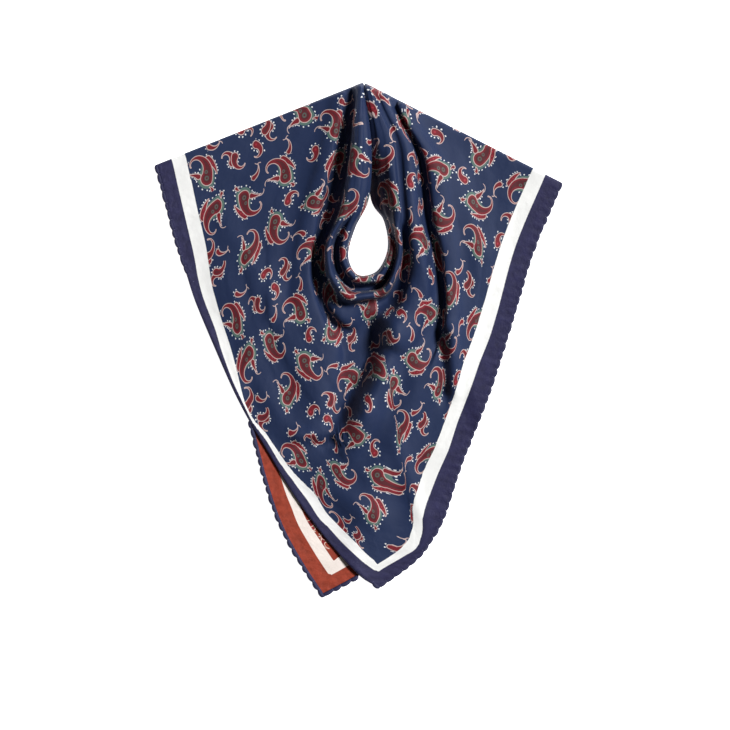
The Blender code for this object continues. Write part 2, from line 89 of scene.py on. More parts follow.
# Columns: turned under, rim, inner roll, gap, outer roll, crease, third fold, valley, panel crest, panel
REACH = (
    (0, 0.7, 2.4, 4.4, 7, 10.5, 13.5, 18, 24, 50),
    (10, 0, 6, 11, 17, 25, 30, 36, 43, 75),
    (12, 0, 8, 15, 24, 36, 43, 51, 58, 95),
    (8, 0, 9, 20.5, 29, 37, 42, 47, 54, 90),
    (6, 0, 6.5, 15, 24, 33, 38, 43, 52, 95),
    (5, 0, 4.5, 13.5, 24, 35, 45, 60, 78, 125),
    (5, 0, 5, 12.5, 20.5, 29, 43, 78, 135, 190),
    (4, 0, 6, 14, 21, 31, 62, 105, 130, 165),
    (4, 0, 6, 10.5, 17.5, 27.5, 48, 92, 102, 135),
    (3.5, 0, 6, 10, 17, 25.5, 38, 70, 79, 112),
    (3.5, 0, 9, 16, 27.5, 34.5, 45, 63, 73, 108),
    (3.5, 0, 8, 15, 26, 33, 45, 60, 69, 102),
    (0, 0.8, 3, 6, 10, 15, 23, 35, 43, 78),
)
RISE = (
    (4, 8, 15, 18, 17, 6, 3.5, 4, 8, 3),
    (14, 23, 31, 34, 32, 8, 2, 3, 14, 7),
    (14, 22, 31, 34, 33, 8, 2, 3, 14, 8),
    (4, 14, 26, 12, 32, 8, 2, 3, 14, 8),
    (1.5, 11, 22, 4, 31, 7, 2, 3, 14, 8),
    (1.5, 10, 20, 3, 30, 14, 15, 2.5, 9, 4),
    (1.5, 10, 20, 3, 30, 12, 11, 2, 6, 3),
    (1.5, 10, 20, 3, 30, 4, 23, 8, 8, 3),
    (1.5, 10, 22, 18, 28, 9, 24, 2, 15, 4),
    (1, 5, 14, 21, 32, 19, 30, 2, 17, 6),
    (1, 4, 10, 20, 32, 26, 31, 2, 18, 8),
    (6, 12, 24, 28, 30, 26, 30, 3, 18, 7),
    (3, 8, 15, 17, 18, 16, 18, 4, 12, 4),
)
FOLD_COUNT = len(REACH[0])
LAST = len(SECTIONS) - 1
PANEL_SHARES = (0.25, 0.5, 0.75, 0.92, 1.0)
# How high the hem lies. Columns: share of the hem, height
HEM_LIFT = (
    (-1, 0.2), (-0.75, 0.2), (-0.62, 3.4), (-0.5, 4.3), (-0.38, 1.7), (-0.13, 1.7), (-0.065, 4.3),
    (-0.02, 2.6), (0.04, 0.1), (1, 0.1),
)
FLANK_STEEPNESS = 0.55
SHOULDER_MAX = 6.0
SHOULDER_SPREAD = 0.35
SHOULDER_FOOT = 2.2
SHOULDER_TUCK = 3.0
SHOULDER_BLEND = 0.8
LEFT_END = ((-200.0, 170.3), (-126.0, -28.0), (-12.0, 245.0))
RIGHT_END = ((198.5, 152.5), (122.5, -45.0), (17.0, 243.0))
END_BRIDGE = 10.0
END_SLOPE = 26.0
# Where the back stretch starts behind the rim, one for each section
BACK_START = (1.2, 6.0, 3.5, 2.0, 1.5, 1.5, 1.5, 1.5, 1.5, 1.5, 1.5, 1.5, 1.2)
CORE_CLEARANCE = 1.3
CORE_START = 0.3
CORE_GROWTH = 4.0
CORE_MARGIN = 1.0
CORE_STEPS = 11
SWELL_START = 40.0
SWELL_GROWTH = 60.0
SWELL_END = 45.0
# Soft swells of the flat panels. Columns: x, y, heading in degrees, half length, half width, height
SWELLS = (
    (-35, -60, 118, 95, 20, 5),
    (40, -80, 70, 100, 18, 6),
    (-20, -140, 125, 70, 16, 3),
    (62, -10, 80, 60, 16, 5),
    (-118, 20, 115, 80, 18, 4),
    (-96, -62, 120, 45, 14, 5),
    (120, 60, 68, 80, 20, 3),
)

# Small creases that only the looks have. Columns: x and y of both ends, half width, height (below 0 a trough)
CREASES = (
    (20, 40, 6, 8, 12, -5),
    (6, 8, -5, -26, 15, -6.5),
    (-5, -26, -17, -62, 15, -6.5),
    (-17, -62, -26, -93, 12, -6),
    (33, 4, 24, -30, 15, 12),
    (22, -36, 10, -66, 16, 15),
    (6, -72, -6, -94, 14, 11),
    (-14, -102, -62, -105, 5.5, -4),
    (-24, -92, -58, -95, 7, 6.5),
    (82, 2, 84, -52, 6, -5),
    (94, 6, 95, -46, 7, 8.5),
    (-60, 150, -74, 60, 16, -2.5),
    (-128, 110, -84, 30, 14, 2.5),
    (96, 160, 118, 96, 15, 3),
    (-30, -150, 18, -176, 10, 2.5),
    (40, -110, 60, -170, 9, 3),
)

# The cloth
SHEET = 0.7  # thickness as shown
EDGE = 479.0  # visible length of each hem edge
CUT = 700.0  # side of the square
LEVEL = 0.9  # a face of a turned-under point is flat, not smooth, where its normal is this upright
HEM_INSET = 4.1
BORDER = 22.0  # border with its roll, in from the cut edge
STRIPE_END = 37.0
STITCH_PITCH = 9.5

# How wide the border and the stripe look. Columns: share of the hem, from the outline to the stripe, and from
# the outline to its far side
LOOKS_WIDE = (
    (-1, 18.5, 33), (-0.82, 15.5, 29.3), (-0.71, 9, 20.5), (-0.645, 8.2, 17.2), (-0.594, 5.4, 15),
    (-0.542, 3.8, 11.2), (-0.502, 2.4, 7.4), (-0.465, 1.8, 4.2), (-0.432, 2.6, 4.6), (-0.408, 4, 6.8),
    (-0.384, 5, 8.4), (-0.346, 4.9, 9.1), (-0.308, 6.4, 11.2), (-0.267, 8, 15.3), (-0.235, 8.6, 18.2),
    (-0.192, 7.4, 16.4), (-0.163, 9.5, 17.5), (-0.131, 10, 19.3), (-0.083, 12, 21), (0, 14.4, 21.4),
    (0.03, 15, 21), (0.094, 12, 20), (0.127, 9, 20.4), (0.163, 13, 24.2), (0.197, 20.4, 31.5),
    (0.234, 22.7, 35.8), (0.294, 21.3, 35.6), (0.36, 18.8, 32.5), (0.432, 20.6, 33.1),
    (0.557, 20.4, 35.7), (0.64, 18.2, 34), (0.84, 20, 34.4), (1, 20, 34),
)
# How far the border is turned under. Columns: share of the hem, from 0 for not at all to 1
TURNED = ((-1.0, 0.0), (-0.79, 0.0), (-0.7, 1.0), (-0.035, 1.0), (-0.008, 0.0), (1.0, 0.0))

# How much of the back's two hem edges shows, as shares of their lengths
BACK_LEFT_SHOWS = 0.425
BACK_BOTTOM_SHOWS = 0.088
# The back's border and stripe. Columns: share of the hem, outline to the stripe, outline to its far side
BACK_LOOKS = (
    (-1, 18, 30), (-0.32, 18, 28), (-0.29, 18, 26.5), (-0.25, 18.2, 27), (-0.21, 19, 27.6),
    (-0.17, 18.4, 27.6), (-0.12, 19, 30), (0, 19.4, 31.2), (0.03, 16.6, 28.8), (0.2, 17, 29),
    (1, 18, 31),
)

# Soft edge of a turned-under point's two layers. Columns: height, inset from its outline
END_EDGE = (
    (0, 0.5), (0.15, 0.2), (0.5, 0), (0.85, 0.1), (1.1, 0.4), (1.3, 1.4), (1.5, 0.9), (1.75, 0.5),
    (2.1, 0.55), (2.4, 0.8), (2.55, 1.3),
)

# Rolled hems and their whip stitches
HEM_ROLL = 2.1
BACK_ROLL = 2.4
HEM_FLAT = 0.6  # height of the front's roll as a share of its width
BACK_FLAT = 0.9
HEM_TIGHT = 1.25
HEM_MIDDLE = 1.9  # from the outline to the middle of a roll
BACK_HEM_RISE = 1.95
TUCKED_HEM_DROP = 0.4
TUCKED_HEM_GAP = 1.2
ROLL_RANGE = (0.9, 1.06)
ROLL_POWER = 0.55
ROLL_TWIST = 0.5
STITCH_STRAY = 0.12
THREAD = 0.24
LOOP_START = -60
LOOP_SWEEP = 300
LOOP_SLANT = 1.1
LOOP_GAP = 0.12

# The border's curl where it is turned under, and the least room between things
CURL_SLACK = 0.35
CURL_GAP = 0.3
CURL_DROP = 0.15
TAIL_LEAST = 0.5
BORDER_LEAST = 0.6
STRIPE_LEAST = 1.5
CORE_LEAST = 0.3
SOFT_LEAST = 2.0  # the cloth eases out where it would sink closer than this to where it lies flat
CREASE_END = 12.0
CREASE_START = 0.3

# How finely the cloth, the hems and the thread are cut
COLUMNS_A_SECTION = 24
ROWS_A_FOLD = 8
PANEL_ROWS = 36
CURL_ROWS = 6
TAIL_ROWS = 3
SHOULDER_COLUMNS = 8
RIM_STEPS = 40
CORE_ROWS = 33
BACK_FINE_FROM = 0.8  # share of the way to the hem from where the back's rows lie closer
BACK_ROWS = 9
BACK_FINE_ROWS = 16
PROFILE_STEPS = 160
EDGE_STEPS = 480
END_STEPS = 28
FRONT_PATH_STEPS = 240
BACK_PATH_STEPS = 160
HEM_AROUND = 14
RINGS_A_PITCH = 8
LOOP_STEPS = 14
THREAD_SIDES = 6

# How the places on the flat cloth are moved until lengths match
RELAX_STRIDES = (6, 3)
RELAX_STEPS = 4000
RELAX_GAIN = 0.1
RELAX_DAMPING = 0.5
RELAX_HELD = 6.0
RELAX_LEAST = 2.0
UPRIGHT_GAIN = 2.0
UPRIGHT_SHARE = 0.25
UPRIGHT_MOST = 2.0

# Places round a point where a crease could lower the cloth
NEARBY = (-9.0, -4.5, 0.0, 4.5, 9.0)
AROUND = np.array([(x, y) for x in NEARBY for y in NEARBY])


def eased(knots, values, at):
    """Values read between knots with no overshoot."""
    knots = np.asarray(knots, float)
    values = np.asarray(values, float)
    step = np.diff(knots)
    slope = np.diff(values) / step
    tangent = np.zeros(len(knots))
    same = slope[1:] * slope[:-1] > 0
    ahead = 2 * step[1:] + step[:-1]
    behind = step[1:] + 2 * step[:-1]
    near = np.where(same, slope[:-1], 1.0)
    far = np.where(same, slope[1:], 1.0)
    tangent[1:-1] = np.where(same, (ahead + behind) / (ahead / near + behind / far), 0.0)
    tangent[0] = slope[0]
    tangent[-1] = slope[-1]
    return hermite(knots, values, tangent, at)


def rounded(knots, values, at):
    """Values read on a round curve through the knots."""
    knots = np.asarray(knots, float)
    values = np.asarray(values, float)
    return hermite(knots, values, np.gradient(values, knots), at)


def hermite(knots, values, tangent, at):
    """Cubic curve through the knots with a given tangent at each."""
    at = np.clip(np.asarray(at, float), knots[0], knots[-1])
    i = np.clip(np.searchsorted(knots, at, side="right") - 1, 0, len(knots) - 2)
    width = knots[i + 1] - knots[i]
    s = (at - knots[i]) / width
    return (
        values[i] * (1 + 2 * s) * (1 - s) ** 2
        + tangent[i] * width * s * (1 - s) ** 2
        + values[i + 1] * s * s * (3 - 2 * s)
        - tangent[i + 1] * width * s * s * (1 - s)
    )


def table(rows, column, at):
    """Value of a table's column, read at places along its first column."""
    return eased([row[0] for row in rows], [row[column] for row in rows], at)


def smooth_step(x):
    """Rise from 0 to 1, level at both ends."""
    x = np.clip(x, 0.0, 1.0)
    return x * x * (3 - 2 * x)


class Outline:
    """A hem edge through its points, read by the share of its own length."""

    def __init__(self, points):
        self.points = np.asarray(points, float)
        chord = np.hypot(*np.diff(self.points, axis=0).T)
        run = np.concatenate([[0.0], np.cumsum(chord)])
        self.length = run[-1]
        self.knots = run / run[-1]

    def at(self, share):
        """Point of the edge."""
        return np.array([rounded(self.knots, self.points[:, k], share) for k in (0, 1)]).T

    def inward(self, share):
        """Unit vector square to the edge. The cloth lies on the left of the edge's run."""
        along = self.at(min(share + 0.004, 1.0)) - self.at(max(share - 0.004, 0.0))
        along = along / np.hypot(*along)
        return np.array([-along[1], along[0]])

    def nearest(self, places):
        """Share of the edge that is nearest to each place in plan, and how far off it is."""
        shares = np.linspace(0.0, 1.0, EDGE_STEPS + 1)
        line = self.at(shares)
        step = np.diff(line, axis=0)
        out = places[:, None] - line[:-1]
        part = ((out * step).sum(axis=2) / (step * step).sum(axis=1)).clip(0.0, 1.0)
        apart = np.linalg.norm(out - part[..., None] * step, axis=2)
        best = apart.argmin(axis=1)
        rows = np.arange(len(places))
        return shares[best] + part[rows, best] * shares[1], apart[rows, best]


FRONT_EDGES = (Outline(LEFT_HEM), Outline(RIGHT_HEM))
BACK_EDGES = (Outline(BACK_LEFT_HEM), Outline(BACK_RIGHT_HEM))


def hem_frame(share, edges):
    """Point of a two-edged hem at a share from -1 to 1, and the unit vector into the cloth there."""
    edge = edges[0] if share < 0 else edges[1]
    place = 1.0 + share if share < 0 else share
    return edge.at(place), edge.inward(place)


def curl_radius(lift):
    """Radius of the turned-under border's curl, which fits below a hem that lies this high."""
    return (lift + WALL) / 2 - CURL_SLACK


def cloth_edge(share, edges, inset):
    """Point where the flat cloth ends at an inset from the outline."""
    free = inset / (edges[0] if share < 0 else edges[1]).length
    share = min(share, -free) if share < 0 else max(share, free)
    point, inward = hem_frame(share, edges)
    return point + inward * inset


def triangle_distance(x, y, corners):
    """Distance outside a triangle, negative inside it."""
    corners = np.asarray(corners, float)
    if np.cross(corners[1] - corners[0], corners[2] - corners[0]) < 0:
        corners = corners[::-1]
    outside = []
    for a, b in zip(corners, np.roll(corners, -1, axis=0)):
        side = (b - a) / np.hypot(*(b - a))
        outside.append((x - a[0]) * side[1] - (y - a[1]) * side[0])
    return np.maximum.reduce(outside)


def floor_height(x, y):
    """Height of the back stretch's underside."""
    out = np.minimum(triangle_distance(x, y, LEFT_END), triangle_distance(x, y, RIGHT_END))
    return (END_DEPTH + SEAM_GAP) * (1.0 - smooth_step((out - END_BRIDGE) / (END_SLOPE - END_BRIDGE)))


def base_height(x, y):
    """Mid-surface of the front stretch where it lies flat."""
    return floor_height(x, y) + WALL + PANEL_GAP + WALL / 2


def swell_height(x, y):
    """Soft swells of the front stretch."""
    total = np.zeros_like(x)
    for cx, cy, heading, half_length, half_width, height in SWELLS:
        c = math.cos(math.radians(heading))
        s = math.sin(math.radians(heading))
        along = (x - cx) * c + (y - cy) * s
        across = (y - cy) * c - (x - cx) * s
        total += height * np.exp(-((along / half_length) ** 2) - (across / half_width) ** 2)
    return total


def crease_height(x, y):
    """Small creases of the front stretch."""
    total = np.zeros_like(np.asarray(x, float))
    for ax, ay, bx, by, half_width, height in CREASES:
        run = math.hypot(bx - ax, by - ay)
        along = ((x - ax) * (bx - ax) + (y - ay) * (by - ay)) / run
        across = ((x - ax) * (by - ay) - (y - ay) * (bx - ax)) / run
        past = np.maximum(0, np.maximum(-along, along - run))
        total += height * np.exp(-((across / half_width) ** 2) - (past / (1.5 * half_width)) ** 2)
    return total


class Section:
    """The front stretch cut along one line from rim to hem, at a place u counted in sections."""

    index = np.arange(len(SECTIONS))
    rims = np.array([[row[1], row[2]] for row in SECTIONS])

    def __init__(self, u):
        self.u = u
        self.rim = np.array([rounded(self.index, self.rims[:, k], u) for k in (0, 1)])
        self.share = float(eased(self.index, [row[3] for row in SECTIONS], u))
        self.turned = float(table(TURNED, 1, self.share))
        self.lift = float(table(HEM_LIFT, 1, self.share))
        self.curl = curl_radius(self.lift)
        self.inset = (1.0 - self.turned) * HEM_INSET / 2 + self.turned * (self.curl + CURL_GAP)
        self.hem = cloth_edge(self.share, FRONT_EDGES, self.inset)
        across = self.hem - self.rim
        self.length = float(np.hypot(*across))
        self.heading = across / self.length
        reach = [float(eased(self.index, [row[k] for row in REACH], u)) for k in range(FOLD_COUNT)]
        rise = [float(eased(self.index, [row[k] for row in RISE], u)) for k in range(FOLD_COUNT)]
        flat = [reach[-1] + (self.length - reach[-1]) * share for share in PANEL_SHARES]
        fade = [1.0 - share for share in PANEL_SHARES]
        self.reach = np.array(reach + flat)
        self.rise = np.array(rise + [rise[-1] * f * f + self.lift * (1 - f) ** 2 for f in fade])

    def profile(self, rows):
        """Reach and rise at places counted in folds. Crests and valleys are round, flanks steep."""
        knots = np.arange(len(self.reach))
        part = rows - np.floor(rows)
        steep = rows + FLANK_STEEPNESS * np.sin(2 * math.pi * part) / (2 * math.pi)
        return eased(knots, self.reach, steep), eased(knots, self.rise, rows)

    def plan(self, reach):
        """Points of the section in plan, one a row."""
        return self.rim + np.multiply.outer(np.asarray(reach, float), self.heading)

    def shoulder(self):
        """Unit vector in from the nearer shoulder fold, and how near it is, from 0 to 1."""
        near = 1 - smooth_step(min(self.u, LAST - self.u) / SHOULDER_BLEND)
        return shoulder_inward(-1 if self.u < LAST / 2 else 1), near

    def points(self, rows):
        """Points of the front stretch's mid-surface."""
        reach, rise = self.profile(rows)
        plan = self.plan(reach)
        x = plan[:, 0]
        y = plan[:, 1]
        from_rim = smooth_step((reach - SWELL_START) / SWELL_GROWTH)
        to_hem = smooth_step((self.length - reach) / SWELL_END)
        to_shoulder = smooth_step(min(self.u, LAST - self.u))
        z = base_height(x, y) + rise + swell_height(x, y) * from_rim * to_hem * to_shoulder
        to_edge = smooth_step((self.length - reach) / CREASE_END)
        z += crease_height(x, y) * to_edge * smooth_step(min(self.u, LAST - self.u) / CREASE_START)
        flat = base_height(x, y)
        above = z - flat
        eased_out = flat + SOFT_LEAST * np.exp(np.minimum(above, SOFT_LEAST) / SOFT_LEAST - 1.0)
        return np.column_stack([x, y, np.where(above < SOFT_LEAST, eased_out, z)])


def all_sections():
    """Sections of the whole cloth, as finely as it is cut."""
    return [Section(u) for u in np.linspace(0, LAST, COLUMNS_A_SECTION * LAST + 1)]


def shoulder_inward(side):
    """Unit vector in plan, square to a shoulder fold and into the cloth."""
    along = np.array(LEFT_CORNER if side < 0 else RIGHT_CORNER) - np.array(SECTIONS[0][1:3])
    along = along / np.hypot(*along)
    return np.array([-along[1], along[0]]) if side < 0 else np.array([along[1], -along[0]])


def roll_width(height):
    """Width in plan of the upper half of a shoulder roll whose top is at this height."""
    above = (height - base_height(*LEFT_CORNER)).clip(0)
    return np.minimum(SHOULDER_MAX, SHOULDER_FOOT + SHOULDER_SPREAD * above)


def neckline_flat(t):
    """Place on the flat cloth of a share t of the neckline, from the left shoulder to the right one."""
    near = CUT - EDGE
    return np.array([near + (EDGE - near) * t, EDGE + (near - EDGE) * t])


def rim_shares():
    """Share of the neckline at each place u, by its length in plan."""
    at = np.linspace(0, LAST, RIM_STEPS * LAST + 1)
    rim = np.array([rounded(Section.index, Section.rims[:, k], at) for k in (0, 1)]).T
    run = np.concatenate([[0.0], np.cumsum(np.hypot(*np.diff(rim, axis=0).T))])
    return at, run / run[-1]


RIM_AT, RIM_RUN = rim_shares()


def stripe_crossing(points, insets, stripe):
    """Where a column leaves the stripe: the row before, the share of the way to the next, and the point."""
    last = int(np.flatnonzero(insets >= stripe)[-1])
    excess = (insets - stripe)[last : last + 2]
    part = excess[0] / (excess[0] - excess[1])
    return last, part, points[last] + (points[last + 1] - points[last]) * part


def stripe_course(sections, columns, looks):
    """Where each column leaves the stripe, and the length along the stripe from its corner to there."""
    crossings = [stripe_crossing(column, look[0], look[2]) for column, look in zip(columns, looks)]
    points = np.array([crossing[2] for crossing in crossings])
    tip = int(np.argmin([abs(section.share) for section in sections]))
    runs = np.zeros(len(points))
    for side in (slice(tip, None), slice(tip, None, -1)):
        run = np.concatenate([[0.0], np.cumsum(np.linalg.norm(np.diff(points[side], axis=0), axis=1))])
        runs[side] = STRIPE_END + run * (EDGE - STRIPE_END) / run[-1]
    return crossings, runs


def flat_places(points, section, looks, start_edge, crossing, run):
    """Places on the flat cloth of a column's points, hem last. The border and stripe keep their looks."""
    insets, border, stripe = looks
    last, at_cross, _ = crossing
    step = np.linalg.norm(np.diff(points, axis=0), axis=1)
    part = 1.0 - np.concatenate([[0.0], np.cumsum(step)]) / step.sum()
    rim = neckline_flat(float(np.interp(section.u, RIM_AT, RIM_RUN)))
    inward = 0 if section.share < 0 else 1
    far = rim[inward]
    even = start_edge + part * (far - start_edge)
    at_stripe = even[last] + (even[last + 1] - even[last]) * at_cross
    onward = (even - at_stripe) / max(far - at_stripe, 1.0)
    in_border = start_edge + (BORDER - start_edge) * (insets - insets[-1]) / (border - insets[-1])
    in_stripe = BORDER + (STRIPE_END - BORDER) * (insets - border) / (stripe - border)
    near = np.where(insets < border, in_border, in_stripe)
    hem = abs(section.share) * EDGE
    along = hem + (run - hem) * (near - start_edge) / (STRIPE_END - start_edge)
    beyond = np.arange(len(points)) <= last
    flat = np.empty((len(points), 2))
    flat[:, inward] = np.where(beyond, STRIPE_END + (far - STRIPE_END) * onward, near)
    flat[:, 1 - inward] = np.where(beyond, run + (rim[1 - inward] - run) * onward, along)
    return flat


def looks_wide(section, places, widths, edges):
    """Each place's distance from the hem, and how wide the border and the stripe look beside it."""
    low = section.share < 0
    shares, away = (edges[0] if low else edges[1]).nearest(places)
    shares = (shares - 1.0).clip(-1.0, -0.0001) if low else shares
    border = np.maximum(table(widths, 1, shares), away[-1] + BORDER_LEAST)
    return away, border, np.maximum(table(widths, 2, shares), border + STRIPE_LEAST)


def front_columns():
    """Columns of the front stretch and their places on the flat cloth."""
    rows = np.linspace(0, FOLD_COUNT - 1, ROWS_A_FOLD * (FOLD_COUNT - 1) + 1)
    rows = np.concatenate([rows, np.linspace(FOLD_COUNT - 1, FOLD_COUNT + 4, PANEL_ROWS + 1)[1:]])
    sections = all_sections()
    tops = [section.points(rows) for section in sections]
    looks = [looks_wide(s, points[:, :2], LOOKS_WIDE, FRONT_EDGES) for s, points in zip(sections, tops)]
    crossings, runs = stripe_course(sections, tops, looks)
    columns = []
    places = []
    for section, points, look, crossing, run in zip(sections, tops, looks, crossings, runs):
        inward = hem_frame(section.share, FRONT_EDGES)[1]
        start = HEM_INSET + section.turned * max(0.0, BORDER - look[1][-1] - HEM_INSET)
        flat = flat_places(points, section, look, start, crossing, run)
        side, near_fold = section.shoulder()
        width = roll_width(points[:, 2]) * near_fold
        points[:, :2] += side * width[:, None]
        tail, tail_flat = turned_under(section, points[-1], inward, start, flat[-1])
        columns.append(np.concatenate([points, tail]))
        places.append(np.concatenate([flat, tail_flat]))
    left = shoulder_columns(columns[0], places[0], -1)
    right = shoulder_columns(columns[-1], places[-1], 1)
    columns = np.array(left[0][::-1] + columns + right[0])
    return columns, unstretched(columns, np.array(left[1][::-1] + places + right[1]))


def unstretched(grid, places):
    """Places on the flat cloth moved until lengths match the folded cloth's. Border and stripe stay."""
    across = strided(len(grid), RELAX_STRIDES[0])
    down = strided(len(grid[0]), RELAX_STRIDES[1])
    points = grid[np.ix_(across, down)]
    begun = places[np.ix_(across, down)]
    held = begun.min(axis=2) < STRIPE_END + RELAX_HELD
    near, far = slice(None, -1), slice(1, None)
    every = slice(None)
    links = [
        ((near, every), (far, every)),
        ((every, near), (every, far)),
        ((near, near), (far, far)),
        ((near, far), (far, near)),
    ]
    wanted = [np.linalg.norm(points[b] - points[a], axis=2) for a, b in links]
    moved = begun.copy()
    speed = np.zeros_like(moved)
    for _ in range(RELAX_STEPS):
        push = upright_push(moved)
        for (a, b), length in zip(links, wanted):
            gap = moved[b] - moved[a]
            share = 0.5 * (1.0 - length / np.linalg.norm(gap, axis=2).clip(0.01))
            push[a] += gap * share[..., None]
            push[b] -= gap * share[..., None]
        speed = RELAX_DAMPING * speed + RELAX_GAIN * push
        speed[held] = 0.0
        moved = np.where(held[..., None], moved, np.maximum(moved + speed, STRIPE_END + RELAX_LEAST))
    shift = moved - begun
    rows = np.arange(len(grid[0]))
    wide = np.array([[np.interp(rows, down, line[:, k]) for k in (0, 1)] for line in shift])
    columns = np.arange(len(grid))
    full = np.array([[np.interp(columns, across, wide[:, k, r]) for k in (0, 1)] for r in rows])
    full = full.transpose(2, 0, 1)
    in_from_edge = places.min(axis=2)
    least = STRIPE_END + np.minimum(in_from_edge - STRIPE_END, RELAX_LEAST)
    beyond = np.maximum(places + full, least[..., None])
    return np.where((in_from_edge > STRIPE_END)[..., None], beyond, places)


def upright_push(moved):
    """Push on each place that keeps the grid's triangles from being flattened or turned over."""
    push = np.zeros_like(moved)
    near, far = slice(None, -1), slice(1, None)
    for corners in (((near, near), (far, near), (near, far)), ((far, far), (near, far), (far, near))):
        sides = [moved[corners[k - 1]] - moved[corners[(k + 1) % 3]] for k in range(3)]
        lengths = [np.linalg.norm(side, axis=2).clip(0.05) for side in sides]
        twice = sides[2][..., 0] * sides[1][..., 1] - sides[2][..., 1] * sides[1][..., 0]
        lack = (UPRIGHT_SHARE * lengths[1] * lengths[2] - twice).clip(0) / np.maximum.reduce(lengths)
        for corner, side, length in zip(corners, sides, lengths):
            out = np.stack([side[..., 1], -side[..., 0]], axis=-1) / length[..., None]
            push[corner] += UPRIGHT_GAIN * lack.clip(0, UPRIGHT_MOST)[..., None] * out
    return push


def strided(count, stride):
    """Every so many places of a count, and the last."""
    return np.unique(np.append(np.arange(0, count, stride), count - 1))


def turned_under(section, top, inward, start, flat):
    """Rows that carry the border round its turned-under edge and back in below the cloth."""
    tail = section.turned * max(TAIL_LEAST, start - HEM_INSET - math.pi * section.curl)
    rows = []
    run = []
    for k in range(1, CURL_ROWS + 1):
        angle = math.pi * k / CURL_ROWS
        out = section.curl * math.sin(angle) * section.turned
        down = section.curl * (1 - math.cos(angle)) * (CURL_DROP + (1 - CURL_DROP) * section.turned)
        rows.append(np.append(top[:2] - inward * out, top[2] - down))
        run.append(section.curl * angle)
    for k in range(1, TAIL_ROWS + 1):
        in_by = tail * k / TAIL_ROWS
        rows.append(np.append(top[:2] + inward * in_by, rows[CURL_ROWS - 1][2]))
        run.append(section.curl * math.pi + in_by)
    edgeward = np.array([-1.0, 0.0]) if section.share < 0 else np.array([0.0, -1.0])
    whole = max(run[-1], 0.1)
    slid = [flat + edgeward * min(r, start - 1.0) * (start - 1.0) / whole for r in run]
    return np.array(rows), np.array(slid)


def shoulder_columns(top, flat, side):
    """Columns that carry the top of the cloth over the shoulder fold and down to the surface."""
    inward = shoulder_inward(side)
    crown = top[:, 2]
    width = roll_width(crown)
    middle = WALL / 2 + SHOULDER_FOOT
    onward = np.array([0.0, 1.0]) if side < 0 else np.array([1.0, 0.0])
    columns = []
    places = []
    run = np.zeros(len(top))
    before = top
    for k in range(1, SHOULDER_COLUMNS + 1):
        angle = math.pi * k / SHOULDER_COLUMNS
        upper = angle <= math.pi / 2
        span = width if upper else np.full_like(width, SHOULDER_FOOT)
        half = crown - middle if upper else np.full_like(crown, SHOULDER_FOOT)
        points = top.copy()
        points[:, :2] += inward * (span * (1 - math.sin(angle)) - width)[:, None]
        points[:, 2] = middle + half * math.cos(angle)
        run = run + np.linalg.norm(points - before, axis=1)
        before = points
        columns.append(points)
        places.append(flat + np.multiply.outer(run, onward))
    return columns, places


def grid_normals(grid):
    """Unit normals of a grid of points."""
    face = np.cross(grid[1:, 1:] - grid[:-1, :-1], grid[:-1, 1:] - grid[1:, :-1])
    face /= np.linalg.norm(face, axis=2, keepdims=True).clip(1e-9)
    normal = np.zeros_like(grid)
    for part in (normal[1:, 1:], normal[1:, :-1], normal[:-1, 1:], normal[:-1, :-1]):
        part += face
    return normal / np.linalg.norm(normal, axis=2, keepdims=True).clip(1e-9)


def closed_cloth(name, upper, lower, places, materials):
    """A closed sheet between two grids of points. The flat cloth's places go to the UV map named cloth."""
    columns, rows = upper.shape[:2]
    count = columns * rows
    points = np.concatenate([upper.reshape(-1, 3), lower.reshape(-1, 3)])
    points = (points + np.array([*CENTRING, 0.0])) * MM
    at = np.arange(count).reshape(columns, rows)
    a, b, c, d = at[:-1, :-1], at[1:, :-1], at[1:, 1:], at[:-1, 1:]
    top = np.stack([a, b, c, a, c, d], axis=-1).reshape(-1, 3)
    ring = np.concatenate([at[:, 0], at[-1, 1:], at[-2::-1, -1], at[0, -2:0:-1]])
    ahead = np.roll(ring, -1)
    rim = np.stack([ahead, ring, ring + count, ahead, ring + count, ahead + count], axis=-1).reshape(-1, 3)
    faces = np.concatenate([top, top[:, ::-1] + count, rim])
    piece = new_piece(name, points.tolist(), faces.tolist(), materials)
    mesh = piece.data
    layer = mesh.uv_layers.new(name="cloth")
    flat = np.concatenate([places.reshape(-1, 2)] * 2) * MM
    corners = np.zeros(len(mesh.loops), int)
    mesh.loops.foreach_get("vertex_index", corners)
    layer.data.foreach_set("uv", flat[corners].ravel())
    slots = np.concatenate([np.zeros(len(top)), np.ones(len(top)), np.zeros(len(rim))]).astype(int)
    mesh.polygons.foreach_set("material_index", slots)
    return piece


def linked(name, data):
    """A new object of the scene with this data."""
    thing = bpy.data.objects.new(name, data)
    bpy.context.scene.collection.objects.link(thing)
    return thing


def new_piece(name, points, faces, materials):
    """An object from points and faces, smooth, with outward normals."""
    mesh = bpy.data.meshes.new(name)
    mesh.from_pydata(points, [], faces)
    mesh.polygons.foreach_set("use_smooth", np.ones(len(faces), bool))
    for material in materials:
        mesh.materials.append(material)
    work = bmesh.new()
    work.from_mesh(mesh)
    bmesh.ops.recalc_face_normals(work, faces=work.faces[:])
    work.to_mesh(mesh)
    work.free()
    return linked(name, mesh)


def front_piece(materials):
    """The front stretch as thin cloth."""
    grid, places = front_columns()
    normal = grid_normals(grid)
    if normal[:, :, 2].mean() < 0:
        normal = -normal
    half = normal * SHEET / 2
    return closed_cloth("front_cloth", grid + half, grid - half, places, materials)


